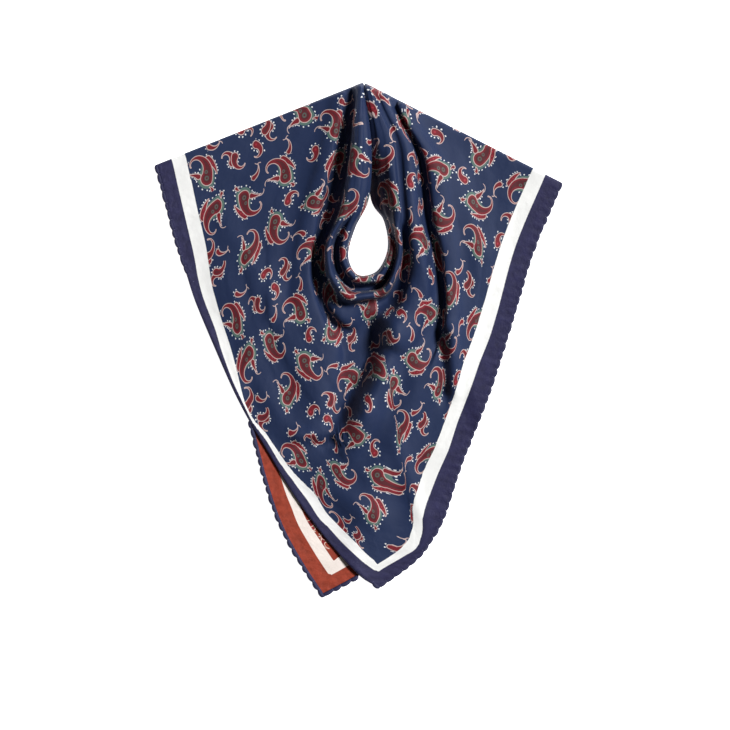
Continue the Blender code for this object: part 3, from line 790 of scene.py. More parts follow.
def core_tops(section, reaches, tucked):
    """Heights of the back stretch's top under the folds, where hidden layers fill what room there is."""
    fine = np.linspace(0, len(section.reach) - 1, PROFILE_STEPS)
    reach, rise = section.profile(fine)
    from_shoulder = min(section.u, LAST - section.u)
    spread = (reaches[-1] - reaches[0]) / CORE_STEPS
    tops = []
    for r in reaches:
        x, y = section.plan(r) + tucked
        inside = (reach > r - spread - CORE_MARGIN) & (reach < r + spread + CORE_MARGIN)
        dip = min(0.0, crease_height(x + AROUND[:, 0], y + AROUND[:, 1]).min())
        roof = base_height(x, y) + max(CORE_LEAST, rise[inside].min() + dip) - WALL / 2
        single = floor_height(x, y) + WALL
        fade = smooth_step(from_shoulder - CORE_START) * smooth_step((r - reaches[0]) / CORE_GROWTH)
        tops.append(float(single + max(0.0, roof - CORE_CLEARANCE - single) * fade))
    return tops


def back_piece(materials):
    """The back stretch: thin cloth whose top rises into the folds, over the layers hidden in them."""
    shares = np.linspace(0, 1, CORE_ROWS)
    near_panel = np.linspace(0, BACK_FINE_FROM, BACK_ROWS)[1:]
    panel = np.concatenate([near_panel, np.linspace(BACK_FINE_FROM, 1.0, BACK_FINE_ROWS)[1:]])
    sections = all_sections()
    tops = []
    bottoms = []
    insets = []
    for section in sections:
        start = float(eased(Section.index, BACK_START, section.u))
        turn = section.reach[FOLD_COUNT - 1]
        reaches = start + (turn - start) * shares
        side, near_fold = section.shoulder()
        tucked = side * SHOULDER_TUCK * near_fold
        from_panel = section.plan(turn)
        insets.append(HEM_INSET / 2 if -BACK_LEFT_SHOWS < section.share < BACK_BOTTOM_SHOWS else HEM_INSET)
        to_hem = cloth_edge(section.share, BACK_EDGES, insets[-1]) - from_panel
        plan = np.concatenate([section.plan(reaches), from_panel + np.multiply.outer(panel, to_hem)])
        plan = plan + tucked
        low = floor_height(plan[:, 0], plan[:, 1])
        high = np.concatenate([core_tops(section, reaches, tucked), low[len(reaches):] + WALL])
        tops.append(np.column_stack([plan, high]))
        bottoms.append(np.column_stack([plan, low]))
    looks = [looks_wide(s, low[:, :2], BACK_LOOKS, BACK_EDGES) for s, low in zip(sections, bottoms)]
    crossings, runs = stripe_course(sections, bottoms, looks)
    each = zip(bottoms, sections, looks, insets, crossings, runs)
    places = [flat_places(low, *rest) for low, *rest in each]
    return closed_cloth("back_cloth", np.array(tops), np.array(bottoms), np.array(places), materials)


def round_triangle(corners):
    """Places round a triangle, evenly along each side."""
    share = np.linspace(0, 1, END_STEPS, endpoint=False)[:, None]
    sides = zip(corners, np.roll(corners, -1, axis=0))
    return np.concatenate([a * (1 - share) + b * share for a, b in sides])


def end_piece(name, corners, side, material):
    """A turned-under point: two flat layers, one on the other, with soft edges."""
    corners = np.array(corners)
    sides = np.array([np.hypot(*(corners[(k + 1) % 3] - corners[(k + 2) % 3])) for k in range(3)])
    centre = sides @ corners / sides.sum()
    reach = float(-triangle_distance(*centre, corners))
    near = CUT - EDGE
    flat_corners = np.array([[0.0, EDGE], [0.0, CUT], [near, EDGE]])
    if side > 0:
        flat_corners = flat_corners[:, ::-1]
    flat_centre = sides @ flat_corners / sides.sum()
    rims = round_triangle(corners)
    flats = round_triangle(flat_corners)
    mesh = bmesh.new()
    layer = mesh.loops.layers.uv.new("cloth")
    place = {}

    def corner_vert(point, height, flat):
        """A vertex at a point in plan, with its place on the flat cloth kept."""
        vert = mesh.verts.new(((point[0] + CENTRING[0]) * MM, (point[1] + CENTRING[1]) * MM, height * MM))
        place[vert] = flat * MM
        return vert

    rings = []
    for height, inset in END_EDGE:
        share = inset / reach
        inner = zip(rims + (centre - rims) * share, flats + (flat_centre - flats) * share)
        rings.append([corner_vert(point, height, flat) for point, flat in inner])
    count = len(rims)
    for low, high in zip(rings, rings[1:]):
        for k in range(count):
            n = (k + 1) % count
            mesh.faces.new((low[k], low[n], high[n], high[k]))
    for ring, height in ((rings[0], END_EDGE[0][0]), (rings[-1], END_EDGE[-1][0])):
        middle = corner_vert(centre, height, flat_centre)
        for k in range(count):
            mesh.faces.new((ring[k], ring[(k + 1) % count], middle))
    bmesh.ops.recalc_face_normals(mesh, faces=mesh.faces[:])
    for face in mesh.faces:
        face.smooth = abs(face.normal.z) < LEVEL
        for loop in face.loops:
            loop[layer].uv = place[loop.vert]
    data = bpy.data.meshes.new(name)
    mesh.to_mesh(data)
    mesh.free()
    data.materials.append(material)
    return linked(name, data)


def front_hem_path(first, last):
    """Middle of the front hem, which goes under the cloth where the border is turned under."""
    points = []
    for share in np.linspace(first, last, FRONT_PATH_STEPS):
        point, inward = hem_frame(share, FRONT_EDGES)
        lift = float(table(HEM_LIFT, 1, share))
        turned = float(table(TURNED, 1, share))
        wide = float(table(LOOKS_WIDE, 1, share))
        curl = curl_radius(lift)
        tail = max(TAIL_LEAST, BORDER - wide - HEM_INSET - math.pi * curl)
        inset = (1 - turned) * HEM_MIDDLE + turned * (curl + CURL_GAP + tail + TUCKED_HEM_GAP)
        x, y = point + inward * inset
        points.append((x, y, base_height(x, y) + lift * (1 - turned) - TUCKED_HEM_DROP * turned))
    return np.array(points)


def back_hem_path(first, last):
    """Middle of the back hem."""
    points = []
    for share in np.linspace(first, last, BACK_PATH_STEPS):
        point, inward = hem_frame(share, BACK_EDGES)
        x, y = point + inward * HEM_MIDDLE
        points.append((x, y, floor_height(x, y) + BACK_HEM_RISE))
    return np.array(points)


def path_frame(path, at):
    """Points, tangents, side vectors and up vectors at lengths along a path."""
    run = np.concatenate([[0.0], np.cumsum(np.linalg.norm(np.diff(path, axis=0), axis=1))])
    centre = np.array([np.interp(at, run, path[:, k]) for k in range(3)]).T
    ahead = np.array([np.interp(np.minimum(at + 1.0, run[-1]), run, path[:, k]) for k in range(3)]).T
    behind = np.array([np.interp(np.maximum(at - 1.0, 0), run, path[:, k]) for k in range(3)]).T
    tangent = ahead - behind
    tangent /= np.linalg.norm(tangent, axis=1, keepdims=True)
    side = np.cross(tangent, (0.0, 0.0, 1.0))
    side /= np.linalg.norm(side, axis=1, keepdims=True)
    return centre, tangent, side, np.cross(side, tangent)


def tube_mesh(rings):
    """Points and faces of a closed tube through rings of points."""
    count = len(rings[0])
    points = (np.concatenate(rings) + np.array([*CENTRING, 0.0])) * MM
    faces = []
    for k in range(len(rings) - 1):
        for s in range(count):
            n = (s + 1) % count
            faces.append((k * count + s, k * count + n, (k + 1) * count + n, (k + 1) * count + s))
    faces.append(tuple(range(count - 1, -1, -1)))
    faces.append(tuple((len(rings) - 1) * count + s for s in range(count)))
    return points.tolist(), faces


def hem_piece(name, path, roll, flat, material, seed):
    """A rolled hem, swollen between stitches and drawn in under each one, and the frames at the stitches."""
    rng = np.random.default_rng(seed)
    length = float(np.linalg.norm(np.diff(path, axis=0), axis=1).sum())
    pitches = max(2, round(length / STITCH_PITCH))
    stray = rng.uniform(-STITCH_STRAY, STITCH_STRAY, pitches - 1)
    knots = (np.arange(pitches + 1) + np.concatenate([[0], stray, [0]])) / pitches * length
    full = roll * rng.uniform(*ROLL_RANGE, pitches)
    at = np.linspace(0, length, RINGS_A_PITCH * pitches + 1)
    i = np.clip(np.searchsorted(knots, at, side="right") - 1, 0, pitches - 1)
    part = (at - knots[i]) / (knots[i + 1] - knots[i])
    swell = np.sin(math.pi * np.clip(part, 0, 1)) ** ROLL_POWER
    radius = HEM_TIGHT + (full[i] - HEM_TIGHT) * swell
    centre, _, side, up = path_frame(path, at)
    rings = []
    for k in range(len(at)):
        middle = centre[k] - side[k] * (roll - radius[k])
        angle = np.linspace(0, 2 * math.pi, HEM_AROUND, endpoint=False) + ROLL_TWIST * part[k]
        spokes = np.outer(np.cos(angle), side[k]) + np.outer(flat * np.sin(angle), up[k])
        rings.append(middle + radius[k] * spokes)
    return new_piece(name, *tube_mesh(rings), [material]), path_frame(path, knots[1:-1])


def stitch_piece(name, at_stitches, material):
    """Whip stitches: one slanted loop of thread round the hem at each pinch."""
    points = []
    faces = []
    turn = np.linspace(0, 2 * math.pi, THREAD_SIDES, endpoint=False)
    for centre, tangent, side, up in zip(*at_stitches):
        middle = centre - side * (HEM_ROLL - HEM_TIGHT)
        rings = []
        for k in range(LOOP_STEPS + 1):
            angle = math.radians(LOOP_START + LOOP_SWEEP * k / LOOP_STEPS)
            spoke = side * math.cos(angle) + up * math.sin(angle)
            slant = tangent * LOOP_SLANT * (k / LOOP_STEPS - 0.5)
            hub = middle + spoke * (HEM_TIGHT + LOOP_GAP) + slant
            along = np.cross(spoke, np.cross(tangent, spoke))
            rings.append(hub + THREAD * (np.outer(np.cos(turn), spoke) + np.outer(np.sin(turn), along)))
        more, more_faces = tube_mesh(rings)
        offset = len(points)
        points += more
        faces += [tuple(v + offset for v in face) for face in more_faces]
    return new_piece(name, points, faces, [material])


# Materials


def srgb(r, g, b):
    """Linear colour of an 8-bit one."""
    values = [v / 255 for v in (r, g, b)]
    linear = [v / 12.92 if v <= 0.04045 else ((v + 0.055) / 1.055) ** 2.4 for v in values]
    return (*linear, 1.0)


def math_method(operation, reflected=False):
    """A method of Wire that makes this math node. A reflected one has the wire on its right."""

    def method(self, other):
        """The wire and another number or wire."""
        return calc(operation, other, self) if reflected else calc(operation, self, other)

    return method


class Wire:
    """A number in a node tree, which ordinary arithmetic extends."""

    def __init__(self, tree, socket):
        self.tree = tree
        self.socket = socket

    __add__ = math_method("ADD")
    __sub__ = math_method("SUBTRACT")
    __rsub__ = math_method("SUBTRACT", reflected=True)
    __mul__ = math_method("MULTIPLY")
    __truediv__ = math_method("DIVIDE")
    __pow__ = math_method("POWER")
    __rpow__ = math_method("POWER", reflected=True)
    __lt__ = math_method("LESS_THAN")
    __gt__ = math_method("GREATER_THAN")


def put(tree, socket, value):
    """Link a wire or socket to an input, or set the input's number."""
    if isinstance(value, Wire):
        tree.links.new(value.socket, socket)
    elif isinstance(value, bpy.types.NodeSocket):
        tree.links.new(value, socket)
    else:
        socket.default_value = value


def fill(tree, node, inputs):
    """Link or set a node's inputs, which are given by name or number."""
    for key, value in inputs.items():
        put(tree, node.inputs[key], value)


def new_node(tree, kind, inputs, **settings):
    """A shader node with its settings and inputs."""
    node = tree.nodes.new("ShaderNode" + kind)
    for name, value in settings.items():
        setattr(node, name, value)
    fill(tree, node, inputs)
    return node


def calc(operation, *values, clamp=False):
    """A math node."""
    tree = next(v.tree for v in values if isinstance(v, Wire))
    node = new_node(tree, "Math", dict(enumerate(values)), operation=operation, use_clamp=clamp)
    return Wire(tree, node.outputs[0])


def vector_calc(tree, operation, *values):
    """A vector math node. Returns its outputs: vector and value."""
    node = new_node(tree, "VectorMath", dict(enumerate(values)), operation=operation)
    return node.outputs[0], Wire(tree, node.outputs[1])


def length_of(x, y):
    """Length of the vector with these components."""
    vector = new_node(x.tree, "CombineXYZ", {0: x, 1: y}).outputs[0]
    return vector_calc(x.tree, "LENGTH", vector)[1]


def parts_of(tree, vector):
    """The first two components of a vector."""
    split = new_node(tree, "SeparateXYZ", {0: vector})
    return Wire(tree, split.outputs[0]), Wire(tree, split.outputs[1])


def mixed(tree, kind, factor, first, second, blend="MIX"):
    """A mix node of floats, vectors or colours."""
    low, high, result = {"FLOAT": (2, 3, 0), "VECTOR": (4, 5, 1), "RGBA": (6, 7, 2)}[kind]
    inputs = {0: factor, low: first, high: second}
    return new_node(tree, "Mix", inputs, data_type=kind, blend_type=blend).outputs[result]


def noise(tree, place, scale, detail, **more):
    """Noise at places, as a wire."""
    inputs = {"Vector": place, "Scale": scale, "Detail": detail, **more}
    return Wire(tree, new_node(tree, "TexNoise", inputs).outputs[0])


# The print's tapered arcs, in millimetres and degrees. Columns: middle's x and y, radius, start, sweep, the
# radius at the tip as a share, half width at the head and at the tip, taper, width of the outline
ARCS = {
    "body": (22.4, 3.3, 22.7, 188.4, 236, 0.16, 8.6, 1, 2.5, 0.85),
    "crest": (-13.2, 8, 5, 250, 60, 1, 2.6, 0.8, 1, 0.9),
    "bud": (3, 27, 21.2, 286, 38, 0.94, 3.6, 0.25, 0.9, 0.95),
    "tendril": (15.2, 16, 5.3, 300, 115, 1.1, 0.5, 0.35, 1, 0),
    "mate": (7, 15, 30.6, 285, -39, 1, 4.6, 0.9, 0.8, 0.95),
    "upper twin": (6, 8.2, 9.6, 208, 190, 0.42, 4.3, 0.7, 1.4, 0.75),
    "lower twin": (-5.8, -6.4, 9, 35, 195, 0.42, 4.2, 0.7, 1.4, 0.75),
    "single": (4, -5, 8.4, 95, -200, 0.45, 4.4, 0.65, 1.5, 0.75),
    "small": (-1, 9, 10, 255, 91, 0.95, 3, 0.35, 1.1, 0.8),
    "left fork": (9.2, 9.8, 3, 190, 80, 1, 0.4, 0.3, 1, 0),
    "right fork": (9, 4, 3, 40, 80, 1, 0.4, 0.3, 1, 0),
}
# Rows of dots beside the arcs. Columns: x and y of the point they go round, offset, count, phase, size
DOTS = {
    "body": (3, -1.5, 1.7, 16, 0.1, 0.85),
    "crest": (-14.2, 2.6, 1.3, 5, 0.45, 0.8),
    "bud": (11, 8.6, 1.1, 9, 0.2, 0.75),
    "mate": (2, -10, 1.1, 16, 0.35, 0.75),
    "inside the mate": (7, 15, 30.6, 46, 0, 0.8),
    "upper twin": (-2.5, 3.5, 1.1, 10, 0.2, 0.7),
    "lower twin": (2, -2, 1.1, 10, 0.5, 0.7),
    "single": (3, 2.6, 1.7, 9, 0.1, 0.8),
    "small": (-3.6, -0.8, 1.3, 7, 0.3, 0.7),
}
# Rosettes in the big motif's body. Columns: x, y, radius
ROSETTES = ((0.3, 0.2, 2.7), (6.2, -3.6, 2.1))
ROSETTE_MIDDLE = 0.72  # of its ring, as a share of the radius
ROSETTE_HALF = 0.28  # half the ring's width
HALO_WIDTH = 3.0
HALO_END = 0.26  # share of the body's sweep


def comma(x, y, name):
    """Distance outside a tapered arc, and the share of its sweep nearest to each point."""
    cx, cy, radius, start, sweep, shrink, head, tip, taper, _ = ARCS[name]
    side = 1.0 if sweep > 0 else -1.0
    begin = math.radians(start) * side
    turn = abs(math.radians(sweep))
    dx = x - cx
    dy = (y - cy) * side
    back = (2 * math.pi - turn) / 2
    angle = calc("WRAP", calc("ARCTAN2", dy, dx) - begin, 2 * math.pi - back, -back)
    share = calc("DIVIDE", angle, turn, clamp=True)
    run = shrink ** share * radius
    width = (1.0 - share) ** taper * (head - tip) + tip
    heading = share * turn + begin
    ex = dx - run * calc("COSINE", heading)
    ey = dy - run * calc("SINE", heading)
    return length_of(ex, ey) - width, share


def dots(x, y, name, distance):
    """Distance outside a row of dots at an offset from a shape, spread by angle about a point."""
    cx, cy, offset, count, phase, size = DOTS[name]
    dx = x - cx
    dy = y - cy
    turn = calc("ARCTAN2", dy, dx) * (count / (2 * math.pi)) + phase
    part = calc("FRACT", turn) - 0.5
    along = part * (2 * math.pi / count) * length_of(dx, dy)
    return length_of(along, distance - offset) - size


def cover(distance, soft=0.25):
    """How much a shape covers: 1 inside, 0 outside, with a soft edge."""
    return calc("MULTIPLY_ADD", distance, -1.0 / soft, 0.5, clamp=True)


class Print:
    """Colours laid over each other, by their names in a palette."""

    def __init__(self, tree, palette, under):
        self.tree = tree
        self.palette = palette
        self.colour = under

    def lay(self, mask, name):
        """Lay a colour of the palette over what is there, where the mask covers."""
        self.colour = mixed(self.tree, "RGBA", mask, self.colour, self.palette[name])

    def shape(self, name, distance):
        """Lay an arc's outline and fill."""
        self.lay(cover(distance), "outline")
        self.lay(cover(distance + ARCS[name][-1]), "fill")

    def beads(self, distance, where):
        """Lay the beads of a row where a mask lets them show."""
        self.lay(cover(distance) * where, "bead")

    def deepen(self, distance, inset, soft, strength):
        """Lay a soft shadow inside a shape."""
        self.lay(cover(distance + inset, soft) * strength, "deep")


def big_motif(x, y, ink):
    """A plump paisley with a hooked neck, a halo with beads, a mate, a bud and a crest."""
    body, t = comma(x, y, "body")
    halo = body - calc("MULTIPLY_ADD", t, -1 / HALO_END, 1.0, clamp=True) * HALO_WIDTH
    ink.beads(dots(x, y, "body", halo), t < 0.15)
    ink.lay(cover(halo), "halo")
    crest, _ = comma(x, y, "crest")
    ink.beads(dots(x, y, "crest", crest), x < -10.5)
    ink.shape("crest", crest)
    bud, t_bud = comma(x, y, "bud")
    ink.beads(dots(x, y, "bud", bud), (t_bud > 0.02) * (t_bud < 0.62))
    ink.lay(cover(comma(x, y, "tendril")[0]), "outline")
    ink.shape("bud", bud)
    mate, _ = comma(x, y, "mate")
    ink.beads(dots(x, y, "mate", mate), y < -15.5)
    ink.shape("mate", mate)
    cx, cy = ARCS["mate"][:2]
    ring = length_of(x - cx, y - cy)
    ink.lay(cover(dots(x, y, "inside the mate", ring)) * (mate < -1.6), "spark")
    ink.shape("body", body)
    ink.deepen(body, inset=3.2, soft=0.8, strength=0.75)
    for cx, cy, radius in ROSETTES:
        from_ring = calc("ABSOLUTE", length_of(x - cx, y - cy) - radius * ROSETTE_MIDDLE)
        ink.lay(cover(from_ring - radius * ROSETTE_HALF, 0.5) * 0.85, "rosette")


def twin_motif(x, y, ink):
    """Two paisleys turned round each other."""
    twins = [(name, *comma(x, y, name)) for name in ("upper twin", "lower twin")]
    for name, twin, t in twins:
        ink.beads(dots(x, y, name, twin), t < 0.2)
    for name, twin, t in reversed(twins):
        ink.shape(name, twin)
        ink.deepen(twin, inset=2.4, soft=0.6, strength=0.7)


def single_motif(x, y, ink):
    """One paisley with beads round its head."""
    shape, t = comma(x, y, "single")
    ink.beads(dots(x, y, "single", shape), t < 0.42)
    ink.shape("single", shape)
    ink.lay(cover(length_of(x - 3.4, y - 3.4) - 1.2, 0.6), "spark")


def small_motif(x, y, ink):
    """A little paisley with a forked tail."""
    shape, t = comma(x, y, "small")
    forks = [comma(x, y, name)[0] for name in ("left fork", "right fork")]
    ink.beads(dots(x, y, "small", shape), t < 0.02)
    ink.lay(cover(calc("MINIMUM", *forks)), "outline")
    ink.shape("small", shape)


# Columns: drawing, size, radius of its territory, and where its middle is in its own drawing
MOTIFS = {
    "big": (big_motif, 0.86, 20.0, (7.0, -0.5)),
    "twin": (twin_motif, 0.98, 13.0, (-0.5, -1.0)),
    "single": (single_motif, 0.98, 10.5, (4.0, -3.0)),
    "small": (small_motif, 1.0, 10.0, (2.5, 3.0)),
}
REPEAT = 146.0
PRINT_START = (42.0, 24.0)
# One repeat of the print, charted. Columns: motif, place across and along, turn in degrees
CHART = (
    ("big", 10, 139, 116),
    ("big", 13, 99, -121),
    ("big", 52, 96, -48),
    ("big", 45, 48, 58),
    ("big", 94, 109, 136),
    ("big", 84, 57, -64),
    ("big", 123, 15, 165),
    ("big", 132, 69, 15),
    ("twin", 43, 140, -80),
    ("twin", 5, 42, 10),
    ("twin", 90, 10, 70),
    ("single", 71, 140, -20),
    ("single", 65, 14, 50),
    ("single", 128, 118, -60),
    ("single", 104, 80, 100),
    ("small", 67, 121, 25),
    ("small", 15, 61, -50),
    ("small", 29, 15, -30),
    ("small", 105, 135, 60),
    ("small", 107, 39, 140),
)
INKS = ("ground", "fill", "deep", "outline", "bead", "halo", "rosette", "spark")


def print_group():
    """Node group of the print: the place on the cloth in millimetres goes in, its colour comes out."""
    tree = bpy.data.node_groups.new("paisley print", "ShaderNodeTree")
    tree.interface.new_socket("place", in_out="INPUT", socket_type="NodeSocketVector")
    for name in INKS:
        tree.interface.new_socket(name, in_out="INPUT", socket_type="NodeSocketColor")
    tree.interface.new_socket("colour", in_out="OUTPUT", socket_type="NodeSocketColor")
    source = tree.nodes.new("NodeGroupInput")
    palette = {name: source.outputs[name] for name in INKS}
    best = None
    half = REPEAT / 2
    for name, across, along, turn in CHART:
        kind = list(MOTIFS).index(name)
        _, size, territory, middle = MOTIFS[name]
        where = (across + PRINT_START[0], along + PRINT_START[1], 0.0)
        away = vector_calc(tree, "SUBTRACT", source.outputs["place"], where)[0]
        away = vector_calc(tree, "WRAP", away, (half, half, 1.0), (-half, -half, -1.0))[0]
        distance = vector_calc(tree, "LENGTH", away)[1] / territory
        angle = {"Vector": away, "Angle": -math.radians(turn)}
        spun = new_node(tree, "VectorRotate", angle, rotation_type="Z_AXIS").outputs[0]
        local = vector_calc(tree, "MULTIPLY_ADD", spun, (1 / size,) * 3, (*middle, 0.0))[0]
        if best is None:
            best, place, which = distance, local, float(kind)
            continue
        closer = distance < best
        place = mixed(tree, "VECTOR", closer, place, local)
        which = Wire(tree, mixed(tree, "FLOAT", closer, which, float(kind)))
        best = calc("MINIMUM", distance, best)
    x, y = parts_of(tree, place)
    colour = palette["ground"]
    for kind, (drawing, *_) in enumerate(MOTIFS.values()):
        ink = Print(tree, palette, palette["ground"])
        drawing(x, y, ink)
        colour = mixed(tree, "RGBA", calc("COMPARE", which, float(kind), 0.5), colour, ink.colour)
    target = tree.nodes.new("NodeGroupOutput")
    tree.links.new(colour, target.inputs[0])
    return tree


NAVY_FACE = {
    "ground": srgb(29, 44, 79),
    "fill": srgb(120, 30, 41),
    "deep": srgb(70, 31, 38),
    "outline": srgb(200, 176, 172),
    "bead": srgb(232, 234, 236),
    "halo": srgb(84, 110, 104),
    "rosette": srgb(84, 96, 90),
    "spark": srgb(164, 42, 56),
    "stripe": srgb(246, 246, 244),
    "border": srgb(44, 43, 78),
}
RUST_FACE = {
    "ground": srgb(150, 58, 40),
    "fill": srgb(140, 30, 34),
    "deep": srgb(86, 30, 30),
    "outline": srgb(236, 206, 190),
    "bead": srgb(244, 236, 228),
    "halo": srgb(110, 112, 84),
    "rosette": srgb(96, 84, 66),
    "spark": srgb(196, 70, 62),
    "stripe": srgb(250, 238, 230),
    "border": srgb(156, 62, 42),
}


# Weave and small relief of the printed cloth, in millimetres. A fade is a share lost each millimetre
PRINT_SOFT = 0.4
TWILL_PITCH = 0.75
TWILL_DEPTH = 0.035
RIB_PITCH = 0.4
RIB_DEPTH = 0.012
PUCKER_DEPTH = 0.45
PUCKER_FADE = 0.16
RUMPLE_DEPTH = 2.0
WRINKLE_DEPTH = 3.0
WRINKLE_FADE = 0.05
# Light and dark of the cloth's dye: how far the whole cloth strays, its darkest, and how far the border strays
CLOTH_STRAY = 0.22
CLOTH_DARKEST = 0.89
BORDER_STRAY = 1.3


def material_of(name):
    """A new material, its tree and its shader."""
    material = bpy.data.materials.new(name)
    material.use_nodes = True
    return material, material.node_tree, material.node_tree.nodes["Principled BSDF"]


def wave(kind, distance, pitch):
    """A sine or cosine of a distance."""
    return calc(kind, distance * (2 * math.pi / pitch))


def cloth_material(name, inks, group):
    """Printed twill: field, stripe and border by the place on the cloth, with a fine weave."""
    material, tree, shader = material_of(name)
    uv = new_node(tree, "UVMap", {}, uv_map="cloth")
    place = new_node(tree, "VectorMath", {0: uv.outputs[0], "Scale": 1 / MM}, operation="SCALE").outputs[0]
    across, along = parts_of(tree, place)
    in_from_edge = calc("MINIMUM", across, along)
    printed = tree.nodes.new("ShaderNodeGroup")
    printed.node_tree = group
    fill(tree, printed, {"place": place, **{ink: inks[ink] for ink in INKS}})
    colour = printed.outputs[0]
    colour = mixed(tree, "RGBA", cover(in_from_edge - STRIPE_END, PRINT_SOFT), colour, inks["stripe"])
    in_border = cover(in_from_edge - BORDER, PRINT_SOFT)
    colour = mixed(tree, "RGBA", in_border, colour, inks["border"])
    patch = noise(tree, place, scale=0.11, detail=5.0, Roughness=0.65) - 0.5
    cloud = noise(tree, place, scale=0.045, detail=4.0)
    shade = cloud * CLOTH_STRAY + CLOTH_DARKEST + patch * in_border * BORDER_STRAY
    tone = new_node(tree, "CombineColor", {0: shade, 1: shade, 2: shade}).outputs[0]
    twill = wave("SINE", across + along, TWILL_PITCH) * TWILL_DEPTH
    ribs = wave("SINE", across - along, RIB_PITCH) * RIB_DEPTH
    from_hem = calc("MAXIMUM", in_from_edge - HEM_INSET, 0.0)
    beside = calc("MAXIMUM", across, along)
    pucker = wave("COSINE", beside, STITCH_PITCH) * calc("EXPONENT", from_hem * -PUCKER_FADE)
    rumple = noise(tree, place, scale=0.05, detail=3.0)
    wrinkle = patch * calc("EXPONENT", in_from_edge * -WRINKLE_FADE) * WRINKLE_DEPTH
    height = twill + ribs + pucker * PUCKER_DEPTH + rumple * RUMPLE_DEPTH + wrinkle
    bump = new_node(tree, "Bump", {"Strength": 0.6, "Distance": MM, "Height": height})
    look = {
        "Base Color": mixed(tree, "RGBA", 1.0, colour, tone, "MULTIPLY"),
        "Normal": bump.outputs[0],
        "Roughness": 0.62,
        "Specular IOR Level": 0.25,
        "Sheen Weight": 0.05,
        "Sheen Roughness": 0.45,
    }
    fill(tree, shader, look)
    return material


def hem_material(name, colour, roughness, grain):
    """Plain rolled cloth or thread with a fine grain."""
    material, tree, shader = material_of(name)
    coordinates = new_node(tree, "TexCoord", {})
    cloud = noise(tree, coordinates.outputs["Object"], scale=grain, detail=3.0)
    dark = tuple(v * 0.7 for v in colour[:3]) + (1.0,)
    light = tuple(min(1.0, v * 1.25) for v in colour[:3]) + (1.0,)
    bump = new_node(tree, "Bump", {"Strength": 0.5, "Distance": 0.3 * MM, "Height": cloud})
    look = {
        "Base Color": mixed(tree, "RGBA", cloud, dark, light),
        "Normal": bump.outputs[0],
        "Roughness": roughness,
        "Specular IOR Level": 0.35,
    }
    fill(tree, shader, look)
    return material


def plain_material(name, colour):
    """The floor's material."""
    material, tree, shader = material_of(name)
    look = {
        "Base Color": colour,
        "Roughness": 0.9,
        "Specular IOR Level": 0.1,
        "Emission Color": colour,
        "Emission Strength": 1.1,
    }
    fill(tree, shader, look)
    return material


# Camera, floor and light. The photograph is 730 pixels wide, and one of its pixels is a millimetre
PHOTO_SIDE = 730
PHOTO_ORIGIN = (359.0, 340.5)
LENS = 150.0
SENSOR = 36.0
FOCUS_HEIGHT = 0.004  # height, in metres, at which a millimetre is one pixel
KEY_POWER = 4.1
KEY_SIZE = 14  # degrees across
KEY_FROM = (0.82, 0.44, 1.0)
SKY_POWER = 0.06
WHITE = (1.0, 1.0, 1.0, 1.0)
FLOOR_COLOUR = (0.95, 0.95, 0.95, 1.0)
FLOOR_HALF = 4.0
FLOOR_BELOW = 0.0004


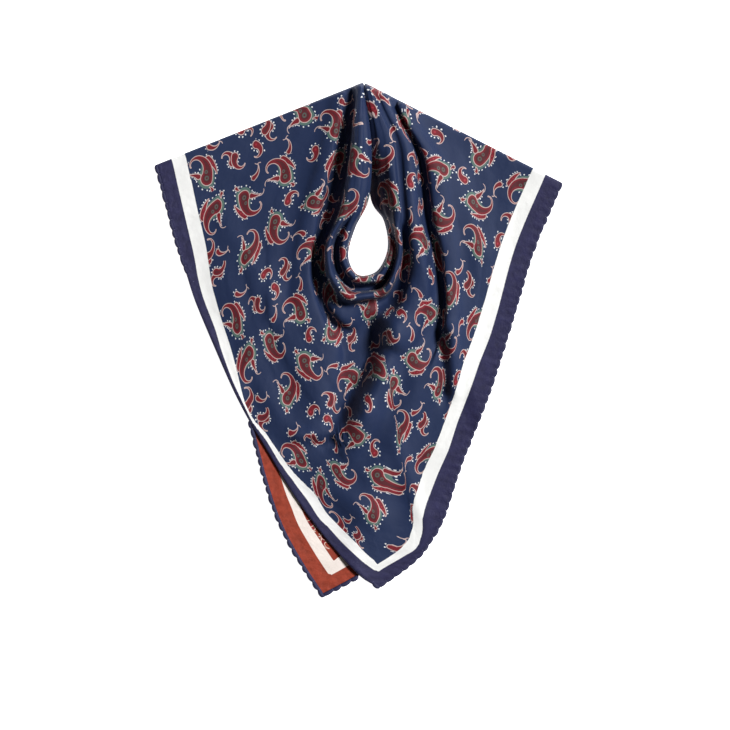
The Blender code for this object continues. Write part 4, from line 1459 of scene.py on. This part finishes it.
def camera_light_floor():
    """The camera above the cloth as in the photo, a soft key light, a faint sky and a pale floor."""
    scene = bpy.context.scene
    middle = PHOTO_SIDE / 2
    x = (middle - PHOTO_ORIGIN[0] + CENTRING[0]) * MM
    y = (PHOTO_ORIGIN[1] - middle + CENTRING[1]) * MM
    data = bpy.data.cameras.new("camera")
    data.lens = LENS
    data.sensor_width = SENSOR
    camera = linked("camera", data)
    camera.location = (x, y, PHOTO_SIDE * MM * LENS / SENSOR + FOCUS_HEIGHT)
    scene.camera = camera
    key = bpy.data.lights.new("key", "SUN")
    key.energy = KEY_POWER
    key.angle = math.radians(KEY_SIZE)
    lamp = linked("key", key)
    lamp.rotation_euler = Vector(KEY_FROM).to_track_quat("Z", "Y").to_euler()
    world = bpy.data.worlds.new("studio")
    world.use_nodes = True
    fill(world.node_tree, world.node_tree.nodes["Background"], {"Color": WHITE, "Strength": SKY_POWER})
    scene.world = world
    mesh = bpy.data.meshes.new("floor")
    far = FLOOR_HALF
    mesh.from_pydata([(-far, -far, 0), (far, -far, 0), (far, far, 0), (-far, far, 0)], [], [(0, 1, 2, 3)])
    mesh.materials.append(plain_material("floor", FLOOR_COLOUR))
    floor = linked("floor", mesh)
    floor.location.z = -FLOOR_BELOW
    scene.view_settings.view_transform = "Standard"


def build():
    """Make every piece, hide the solids it stands for and attach it to the root body."""
    group = print_group()
    navy = cloth_material("navy face", NAVY_FACE, group)
    rust = cloth_material("rust face", RUST_FACE, group)
    rolled = hem_material("rolled hem", srgb(44, 44, 78), roughness=0.7, grain=900.0)
    thread = hem_material("thread", srgb(96, 96, 130), roughness=0.6, grain=3000.0)
    front = front_piece([navy, rust])
    back = back_piece([rust, navy])
    left = end_piece("left_end_cloth", LEFT_END, -1, navy)
    right = end_piece("right_end_cloth", RIGHT_END, 1, navy)
    near = 0.0001  # a hem's share just short of the corner
    corner = 0.006  # and one where the next hem starts, clear of the first
    hems = (
        ("front_left", front_hem_path(-1.0, -near), "hem_front_left", front, 1),
        ("front_right", front_hem_path(corner, 1.0), "hem_front_right", front, 2),
        ("back_left", back_hem_path(-BACK_LEFT_SHOWS, -near), "hem_back_left", back, 3),
        ("back_bottom", back_hem_path(corner, BACK_BOTTOM_SHOWS), "hem_back_bottom", back, 4),
    )
    trims = {front: [], back: []}
    for name, path, node, cloth, seed in hems:
        size, flat = (HEM_ROLL, HEM_FLAT) if cloth is front else (BACK_ROLL, BACK_FLAT)
        roll, stitches = hem_piece("roll_" + name, path, size, flat, rolled, seed)
        sewn = stitch_piece("stitches_" + name, stitches, thread)
        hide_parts(node)
        for piece in (roll, sewn):
            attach(piece, "root")
            trims[cloth].append(piece)
    pairs = (
        (front, "front_stretch", "navy_print"),
        (back, "back_stretch", "rust_print"),
        (left, "left_end", "navy_print"),
        (right, "right_end", "navy_print"),
    )
    for piece, node, slot in pairs:
        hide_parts(node)
        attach(piece, "root")


build()
camera_light_floor()
bpy.context.view_layer.update()
